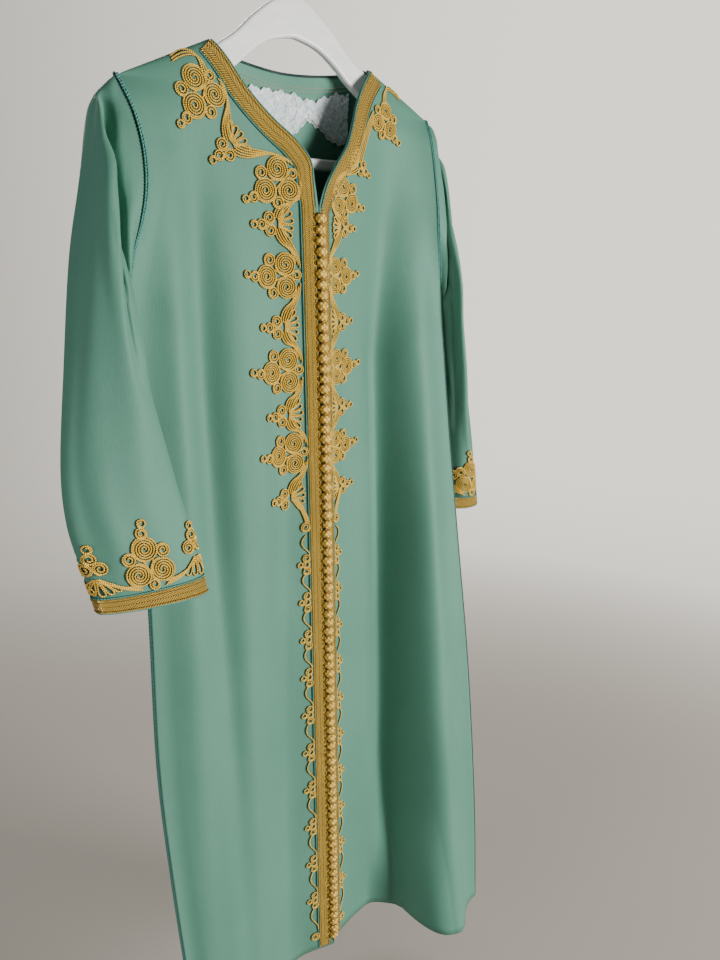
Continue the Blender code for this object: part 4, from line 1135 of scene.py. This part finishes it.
def front_motifs(side, tag):
    """All the motifs of one front with the stems that join each to the next."""
    rows = [FRONT_MOTIFS[name] for name in ("kind", "x_" + tag, "z_" + tag, "down_" + tag, "size_" + tag)]
    kinds, frames, paths = rows[0], [], []
    for kind, x, z, down, size in zip(*rows):
        reach = (CLUSTER_REACH if kind else FAN_REACH) * size
        angle = math.radians(down)
        direction = np.array([side * math.cos(angle), -math.sin(angle)])
        tip = np.array([x, z])
        frames.append(Placed(tip - direction * reach, tip, size, mirror=side))
        paths += [frames[-1](path) for path in motif(kind, size)]
    for i in np.flatnonzero(kinds == 0):
        paths += stems(frames[i], frames[i - 1], 1)
        if i + 1 < len(frames):
            paths += stems(frames[i], frames[i + 1], -1)
    for k in range(3):
        inward = 1.9 * MM * k
        paths.append(bow((side * 0.1210, 0.9010 - inward), (side * 0.1080, 0.9100 - inward),
                         (side * (0.0985 - inward), 0.9130 - inward), (side * (0.0975 - inward), 0.8900)))
    return paths


def chain(side):
    """The chain that runs down from the last fan: a curl, then at each link three small curls in a row
    and one outside them, joined by an S-shaped cord. Four strands join it to the fan."""
    heights = FIRST_TOP - np.concatenate([[0], np.cumsum(np.linspace(0.0385, 0.0495, 11))])
    size = 1.0 if side < 0 else 0.86
    edge = BRAID_INSET + BRAID_WIDTH
    paths = []
    for i, z in enumerate(heights):
        curls = ((1.4, 6.6, 3.7), (1.8, 0.0, 3.6), (1.4, -6.6, 3.7), (7.6, 0.4, 2.7))
        if i in (0, len(heights) - 1):
            curls = ((1.4, 0.0, 4.6),)
        link = [path for u, w, r in curls
                for path in spiral(u, w, r, math.pi if w >= 0 else 0.0, 1 if w >= 0 else -1)]
        if i + 1 < len(heights):
            drop = (z - heights[i + 1]) / MM
            link.append(bow((1.0, -8.0), (8.0, -0.34 * drop), (10.5, -0.52 * drop),
                            (-4.0, -0.60 * drop), (-1.4, -drop + 9.0), count=26))
        paths += [np.stack([side * (edge + 0.0034 + path[:, 0] * MM * size), z + path[:, 1] * MM], -1)
                  for path in link]
    fan_z = 0.5345
    for k in range(4):
        strand = bow((0.0155 * size - 0.0008 * (3 - k), fan_z - 0.0016),
                     (0.0100 + 0.0012 * k, fan_z - 0.0085),
                     (0.0040 + 0.0011 * k, fan_z - 0.0140), (0.0012 + 0.0012 * k, FIRST_TOP + 0.0042))
        paths.append((strand + [edge, 0]) * [side, 1])
    return paths


for side, tag in SIDES:
    piece = cords("motifs_front_" + tag, laid(front_place, front_motifs(side, tag)), GOLD_CORD)
    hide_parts("embroidery_front_" + tag)
    cords("chain_front_" + tag, laid(front_place, chain(side)), GOLD_CORD)

# Clusters and fans outside the back neck, pointing down: kind, x, size. The stiffener is inside it.
BACK_MOTIFS = ((1, -0.030, 0.92), (1, 0.031, 0.90), (0, 0.0005, 0.92), (0, -0.0585, 0.70), (0, 0.0590, 0.70))
paths = []
for kind, x, size in BACK_MOTIFS:
    top = float(back_neck_height(np.array(x))) - BRAID_WIDTH - 0.0022
    frame_here = Placed((x, top), (x, top - 0.05), size)
    paths += [frame_here(path) for path in motif(kind, size)]
top = BACK_NECK_HEIGHT - BRAID_WIDTH - 0.0022
for a, b in ((-30, 0.5), (31, 0.5), (-30, -58.5), (31, 59.0)):
    sign = 1 if b > a else -1
    for k in range(4):
        strand = bow((a + sign * (9 + 1.3 * k), -(2.0 + 1.5 * k)), (a + sign * (15 + k), -(2.0 + 1.5 * k)),
                     (b - sign * (6 - k), -(5.0 + 1.5 * k)), (b - sign * (2.5 - 0.6 * k), -13.5))
        paths.append(strand * MM + [0, top])
piece = cords("motifs_back_neck", laid(back_place, paths), GOLD_CORD)
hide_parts("embroidery_back_neck")

STIFFENER_EDGE = table(
    "x top bottom",
    (-0.062, 0.026, 0.040),
    (-0.046, 0.020, 0.056),
    (-0.030, 0.017, 0.046),
    (-0.014, 0.016, 0.046),
    (0.004, 0.016, 0.054),
    (0.012, 0.017, 0.050),
    (0.022, 0.020, 0.040),
    (0.032, 0.021, 0.041),
    (0.046, 0.018, 0.051),
    (0.060, 0.016, 0.060),
    (0.072, 0.018, 0.058),
)


def lobes(x, edge):
    """Depth of the stiffener's top or bottom edge below the back neck: lobes with an uneven cut."""
    uneven = 0.0011 * np.sin(x * 410) + 0.0008 * np.sin(x * 930 + 1)
    return through(STIFFENER_EDGE["x"], STIFFENER_EDGE[edge], x) + uneven


x = np.linspace(-0.062, 0.072, 160)
share = np.linspace(0, 1, 40)[:, None]
z = back_neck_height(x) - (lobes(x, "top") * (1 - share) + lobes(x, "bottom") * share)
flat = np.stack([x + 0 * z, z], -1)
waves = np.sin(flat[..., 0] * 520 + 2 * np.sin(z * 300)) * np.sin(z * 560)
points, _ = back_place(flat, -OVER - 0.0007 - 0.0006 * waves)
patch = cloth("neck_stiffener", points, STIFFENER, thickness=0.0006)
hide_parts("embroidery_backing")
edge = np.stack([x, back_neck_height(x) - lobes(x, "bottom") + 0.0022], -1)
cords("stiffener_stitches", [whip_beads(back_place, edge, 0.0032, 0.00045, -OVER - 0.0011, 0.85, 5)],
      PALE_STITCH)

# ---------------------------------------------------------------- cuffs
CUFF_MOTIFS = table(
    "turn kind size",
    (0.068, 0, 1.02),
    (0.245, 1, 1.00),
    (0.425, 0, 1.08),
    (0.580, 0, 0.92),
    (0.750, 1, 1.00),
    (0.920, 0, 0.92),
)
CUFF_POINTS = 240
STRIP_STEP = 0.00042


def cuff_band(cover):
    """The flat braid round a cuff, closed on itself."""
    turns = np.arange(CUFF_POINTS) / CUFF_POINTS
    flat = np.stack(np.broadcast_arrays(turns[None, :], BRAID_ACROSS[:, None] * BRAID_WIDTH), -1)
    points, _ = cover.place(flat, braid_profile()[:, None] + 0 * flat[..., 0])
    uv = grid_uv(BRAID_ACROSS, turns * cover.length * 100, True)[..., ::-1]
    return points, grid_faces(len(BRAID_ACROSS), CUFF_POINTS, True), uv


def cuff_whips(cover):
    """A cord that swells at each stitch, round the cuff on either side of the band."""
    dense = cover.turn_at(0.0, np.arange(int(cover.length / STRIP_STEP)) * STRIP_STEP)
    for up in (CUFF_BAND + 0.0006, -0.0004):
        points, out = cover.place(np.stack([dense, 0 * dense + up], -1), np.float64(OVER + 0.0005))
        yield stitched_cord(points, out, 0.00085, 0.55, 5, ends=False)


def over_cuff(cover, turn):
    """A function that places cords at u up from the band and w along the cloth from a turn."""
    def place(flat, height):
        """The point and normal at u and w of the motif."""
        turns = cover.turn_at(turn, flat[:, 1]) % 1.0
        return cover.place(np.stack([turns, CUFF_BAND + 0.0016 + flat[:, 0]], -1), height)

    return place


def cuff_motifs(cover):
    """The motifs round a cuff, pointing up the sleeve, and four strands from each cluster to the fan on
    either side."""
    for turn, kind, size in zip(*CUFF_MOTIFS.values()):
        paths = [path * size * MM for path in motif(kind, size)]
        for way in (-1, 1) if kind else ():
            spread = abs(cover.run_at(turn + way * 0.166) - cover.run_at(turn)) / MM
            paths += [bow((2.0 + 1.3 * k, way * (9 + 1.5 * k)), (2.5 + 1.0 * k, way * (17 + k)),
                          (7.0 + k, way * (spread - 9.5 + k)), (12.5, way * (spread - 3.6 + 0.7 * k))) * MM
                      for k in range(4)]
        yield from laid(over_cuff(cover, turn), paths, 0.0011, 0.00075, 0.9)


for side, tag in SIDES:
    cover = SleeveCover(side)
    points, faces, uv = cuff_band(cover)
    if side > 0:
        faces, uv = faces[:, ::-1], uv[:, ::-1]
    band = new_piece("cuff_band_" + tag, points, faces, BRAID, uv)
    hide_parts("cuff_braid_" + tag)
    cords("cuff_whip_" + tag, cuff_whips(cover), TEAL_CORD)
    piece = cords("cuff_motifs_" + tag, cuff_motifs(cover), GOLD_CORD)
    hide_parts("cuff_embroidery_" + tag)

# ---------------------------------------------------------------- seams worked over by hand
for side, tag in SIDES:
    ring = armhole_ring(side, (0.5 + np.linspace(0.02, 0.98, 900)) % 1)
    ring[:, 0] += side * 0.0006
    tangent = unit(np.gradient(ring, axis=0))
    out = (ring - [0, 0.018, 0.805]) * [0, 1, 1]
    out = unit(out - tangent * np.sum(out * tangent, -1, keepdims=True))
    along = evenly(np.concatenate([ring, out * MM], -1), 0.00052)
    path, out = along[:, :3], unit(along[:, 3:])
    across = unit(np.cross(unit(np.gradient(path, axis=0)), out))
    meshes = [stitched_cord(path + out * 0.0013 + across * offset, out, 0.00120, 0.35, 5, phase=phase)
              for offset, phase in ((-0.0009, 0.0), (0.0009, 0.5))]
    piece = cords("armhole_stitches_" + tag, meshes, TEAL_CORD)
    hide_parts("armhole_cord_" + tag)
    z = np.linspace(0.0, 0.722, 900)
    x = side_edge("x", side, z)
    seam = np.stack([x, side_edge("y", side, z), z + droop_of_hem(x) * (1 - z / COLLAR_HEIGHT) ** 2], -1)
    seam = evenly(seam, 0.00060)
    sideways = np.broadcast_to([side, 0.0, 0.0], seam.shape)
    meshes = [stitched_cord(seam + sideways * 0.0009 + [0, offset, 0], sideways, 0.00095, 0.5, 6, phase=phase)
              for offset, phase in ((-0.0010, 0.0), (0.0010, 0.5))]
    piece = cords("side_stitches_" + tag, meshes, TEAL_CORD)
    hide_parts("side_cord_" + tag)
    under = evenly(sleeve_points(side, np.array([0.5]), np.linspace(0.012, 0.985, 700))[:, 0], 0.00065)
    inward = np.broadcast_to([-side, 0.0, -0.3], under.shape)
    meshes = [stitched_cord(under + unit(inward) * 0.0008, inward, 0.00075, 0.5, 6, 5)]
    cords("sleeve_seam_" + tag, meshes, TEAL_CORD)

# ---------------------------------------------------------------- hanger
HANGER_ARM = table(
    "x top bottom",
    (0.000, 0.968, 0.934),
    (0.012, 0.965, 0.932),
    (0.027, 0.956, 0.9275),
    (0.043, 0.944, 0.918),
    (0.058, 0.931, 0.906),
    (0.072, 0.9215, 0.8965),
    (0.084, 0.9152, 0.890),
    (0.105, 0.9055, 0.880),
    (0.125, 0.8938, 0.870),
)
BAR_TOP = 0.839
BAR_BOTTOM = 0.829
NECK_TOP = 0.985
NECK_HALF = 0.0065
HANGER_HALF = 0.146
ROUNDING = 0.0026
HANGER_THICK = 0.008


def arc(centre_x, centre_z, radius, start, end, count):
    """Points of a circle's arc between two angles in degrees."""
    angles = np.radians(np.linspace(start, end, count))
    return np.stack([centre_x + radius * np.cos(angles), centre_z + radius * np.sin(angles)], -1)


def hanger_outlines():
    """The outside of the hanger and the edge of its opening, each mirrored about the middle."""
    arm_end = HANGER_ARM["x"][-1]
    end_radius = (HANGER_ARM["top"][-1] - BAR_BOTTOM) / 2
    x = np.linspace(NECK_HALF, arm_end, 60)
    upper = np.stack([x, through(HANGER_ARM["x"], HANGER_ARM["top"], x)], -1)
    turn = arc(arm_end, BAR_BOTTOM + end_radius, end_radius, 68, -90, 30)
    turn[:, 0] = arm_end + (turn[:, 0] - arm_end) * (HANGER_HALF - arm_end) / end_radius
    right = np.concatenate([[[NECK_HALF, NECK_TOP]], upper, turn])
    x = np.linspace(0, arm_end, 60)
    lower = np.stack([x, through(HANGER_ARM["x"], HANGER_ARM["bottom"], x)], -1)
    inside = np.concatenate([lower, arc(arm_end, BAR_TOP + 0.009, 0.009, 40, -90, 16)])
    return np.concatenate([right, right[::-1] * [-1, 1]]), np.concatenate([inside, inside[:0:-1] * [-1, 1]])


outline, opening = hanger_outlines()
shape = bpy.data.curves.new("hanger_shape", "CURVE")
shape.dimensions = "2D"
shape.fill_mode = "BOTH"
shape.extrude = HANGER_THICK / 2 - ROUNDING
shape.bevel_depth = ROUNDING
shape.bevel_resolution = 4
shape.offset = -ROUNDING
for line in (outline, opening):
    spline = shape.splines.new("POLY")
    spline.points.add(len(line) - 1)
    spline.points.foreach_set("co", np.column_stack([line, 0 * line[:, 0], 1 + 0 * line[:, 0]]).ravel())
    spline.use_cyclic_u = True
holder = bpy.data.objects.new("hanger_shape", shape)
bpy.context.scene.collection.objects.link(holder)
flat_mesh = bpy.data.meshes.new_from_object(holder)
co = np.empty(len(flat_mesh.vertices) * 3)
flat_mesh.vertices.foreach_get("co", co)
co = co.reshape(-1, 3)
co = np.stack([co[:, 0], HANGER_Y - co[:, 2], co[:, 1]], -1) + HOME
flat_mesh.vertices.foreach_set("co", co.ravel())
bpy.data.objects.remove(holder, do_unlink=True)
flat_mesh.materials.clear()
flat_mesh.materials.append(PLASTIC)
flat_mesh.update()
hanger = bpy.data.objects.new("hanger", flat_mesh)
bpy.context.scene.collection.objects.link(hanger)
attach(hanger, "root")
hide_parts("hanger_body")

BEND = 0.021
WIRE_RADIUS = 0.0019
WIRE_SIDES = 16
bend = arc(0, HOOK_HEIGHT + WIRE_RADIUS - BEND, BEND, -22, 200, 60)
rise = bow((0, NECK_TOP - 0.004), (0, NECK_TOP + 0.006), (0.0115, NECK_TOP + 0.012), bend[0], count=14)
hook = np.concatenate([rise[:-1], bend])
path = np.stack([hook[:, 0], HANGER_Y + 0 * hook[:, 0], hook[:, 1]], -1)
facing = np.broadcast_to([0.0, -1.0, 0.0], path.shape)
# Known fault: points holds one row a ring, but the lines below count and slice it as single points. So
# only the lowest 8 rings get faces, and the rest of the hook is not shown.
points = cord_mesh(path, facing, WIRE_RADIUS, WIRE_SIDES, ends=False)[0]
tip_along = unit(path[-1] - path[-2]) * WIRE_RADIUS
cap = [(points[-WIRE_SIDES:] - path[-1]) * math.cos(a) + path[-1] + tip_along * math.sin(a)
       for a in np.linspace(0, np.pi / 2, 5)[1:]]
points = np.concatenate([points] + cap)
faces, uv = tube(np.arange(len(points) // WIRE_SIDES) * 0.2, np.arange(WIRE_SIDES) / WIRE_SIDES)
hook_piece = new_piece("hook", points, faces, WIRE, uv)
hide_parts("hanger_hook")
round_neck = arc(0, 0, 1.0, 0, 360, 25)[:-1]
COLLAR_RINGS = ((0.0048, -0.001), (0.0052, 0.0004), (0.0044, 0.0022), (0.0030, 0.0032), (0.0017, 0.0034))
rings = [np.column_stack([round_neck * [radius, radius * 0.72], np.full(24, up)])
         for radius, up in COLLAR_RINGS]
points = np.array(rings) + [0, HANGER_Y, NECK_TOP]
new_piece("hanger_collar", points, grid_faces(5, 24, True), PLASTIC)

# ---------------------------------------------------------------- camera, floor and light
def standing(across, up, back, place):
    """Where a camera or light stands, from its three axes and its place."""
    return Matrix(np.vstack([np.column_stack([across, up, back, place]), [0, 0, 0, 1]]).tolist())


SENSOR = 36.0
FOCAL_SHARE = 793.7 / 960.0     # focal length over the picture's height
YAW, PITCH_DOWN, ROLL = math.radians(41.0), math.radians(15.37), math.radians(-0.30)
forward = np.array([math.sin(YAW) * math.cos(PITCH_DOWN), math.cos(YAW) * math.cos(PITCH_DOWN),
                    -math.sin(PITCH_DOWN)])
level = np.array([math.cos(YAW), -math.sin(YAW), 0.0])
upright = np.cross(level, forward)
right_hand = math.cos(ROLL) * level + math.sin(ROLL) * upright
upward = math.cos(ROLL) * upright - math.sin(ROLL) * level
lens = bpy.data.cameras.new("camera")
lens.sensor_fit = "VERTICAL"
lens.sensor_height = SENSOR
lens.lens = SENSOR * FOCAL_SHARE
lens.clip_start = 0.01
camera = bpy.data.objects.new("camera", lens)
eye = np.array([-0.4553, -0.6088, -0.2964])
camera.matrix_world = standing(right_hand, upward, -forward, eye)
bpy.context.scene.collection.objects.link(camera)
bpy.context.scene.camera = camera

FLOOR_Z = -HOOK_HEIGHT - 0.10
ground = bpy.data.meshes.new("floor")
corners = [(-3, -3, FLOOR_Z), (3, -3, FLOOR_Z), (3, 3, FLOOR_Z), (-3, 3, FLOOR_Z)]
ground.from_pydata(corners, [], [(0, 1, 2, 3)])
pale = Finish("pale floor", Roughness=0.85)
patches = pale.noise(pale.place(), 0.8)
pale.drive("Base Color", pale.colours(patches, (0.3, (0.38, 0.345, 0.30)), (0.7, (0.41, 0.37, 0.32))))
spread = pale.number(pale.add("ShaderNodeVectorMath", {"operation": "LENGTH"}, {0: pale.place()}), "Value")
pale.drive("Alpha", 1 - ((spread - 1.28) * 1.5).of("MAXIMUM", 0.0).of("MINIMUM", 1.0))
ground.materials.append(pale.made)
floor = bpy.data.objects.new("floor", ground)
bpy.context.scene.collection.objects.link(floor)


AMBIENT = 0.10
# Backdrop colours seen by the camera: painted shade on the dim side and low down, painted light on the bright
# side.
LOW_DIM, LOW_BRIGHT = (0.165, 0.145, 0.120), (0.43, 0.37, 0.30)
HIGH_DIM, HIGH_BRIGHT = (0.46, 0.43, 0.38), (1.48, 1.41, 1.28)


def studio_sky():
    """A pale backdrop seen only by the camera, with painted light on it: brighter to one side and painted
    dimmer low down. The garment is lit by a separate soft, even ambient.
    """
    world = bpy.data.worlds.new("studio")
    bpy.context.scene.world = world
    world.use_nodes = True
    tree = world.node_tree

    def node(kind, *links):
        """A new node whose inputs are joined to the given outputs."""
        made = tree.nodes.new(kind)
        for socket, source in links:
            tree.links.new(source, made.inputs[socket])
        return made

    where = node("ShaderNodeTexCoord")
    axes = node("ShaderNodeSeparateXYZ", (0, where.outputs["Generated"]))
    level = node("ShaderNodeMapRange", ("Value", axes.outputs["Z"]))
    level.inputs["From Min"].default_value, level.inputs["From Max"].default_value = -0.66, -0.22
    aside = node("ShaderNodeMapRange", ("Value", axes.outputs["X"]))
    aside.inputs["From Min"].default_value, aside.inputs["From Max"].default_value = 0.0, 0.85
    level.interpolation_type = aside.interpolation_type = "SMOOTHSTEP"
    low = node("ShaderNodeMix", ("Factor", aside.outputs["Result"]))
    high = node("ShaderNodeMix", ("Factor", aside.outputs["Result"]))
    for mix, dark, light in ((low, LOW_DIM, LOW_BRIGHT), (high, HIGH_DIM, HIGH_BRIGHT)):
        mix.data_type = "RGBA"
        mix.inputs[6].default_value, mix.inputs[7].default_value = (*dark, 1), (*light, 1)
    both = node("ShaderNodeMix", ("Factor", level.outputs["Result"]))
    both.data_type = "RGBA"
    tree.links.new(low.outputs[2], both.inputs[6])
    tree.links.new(high.outputs[2], both.inputs[7])
    seen = tree.nodes["Background"]
    tree.links.new(both.outputs[2], seen.inputs["Color"])
    soft = node("ShaderNodeBackground")
    soft.inputs["Color"].default_value = (1.0, 0.98, 0.95, 1)
    soft.inputs["Strength"].default_value = AMBIENT
    # Camera rays see the painted backdrop; all other rays see only the dim even ambient.
    ray = node("ShaderNodeLightPath")
    mixed = node("ShaderNodeMixShader", (0, ray.outputs["Is Camera Ray"]),
                 (1, soft.outputs[0]), (2, seen.outputs[0]))
    tree.links.new(mixed.outputs[0], tree.nodes["World Output"].inputs[0])


studio_sky()


def panel_light(name, place, size, power, colour):
    """A soft rectangular light that stands at a place and faces the middle of the garment."""
    light = bpy.data.lights.new(name, "AREA")
    light.shape = "RECTANGLE"
    light.size, light.size_y = size
    light.energy = power
    light.color = colour
    made = bpy.data.objects.new(name, light)
    back = unit(np.array(place, float) - [0, 0, -0.5])
    across = unit(np.cross([0, 0, 1.0], back))
    made.matrix_world = standing(across, np.cross(back, across), back, place)
    bpy.context.scene.collection.objects.link(made)


panel_light("key", (1.05, -1.90, -0.42), (0.7, 0.8), 82, (1.0, 0.985, 0.955))
panel_light("fill", (-2.25, -0.30, -0.30), (1.1, 1.2), 22, (0.96, 0.985, 1.0))
panel_light("back", (0.9, 1.9, 0.6), (1.6, 1.2), 46, (1.0, 0.99, 0.97))
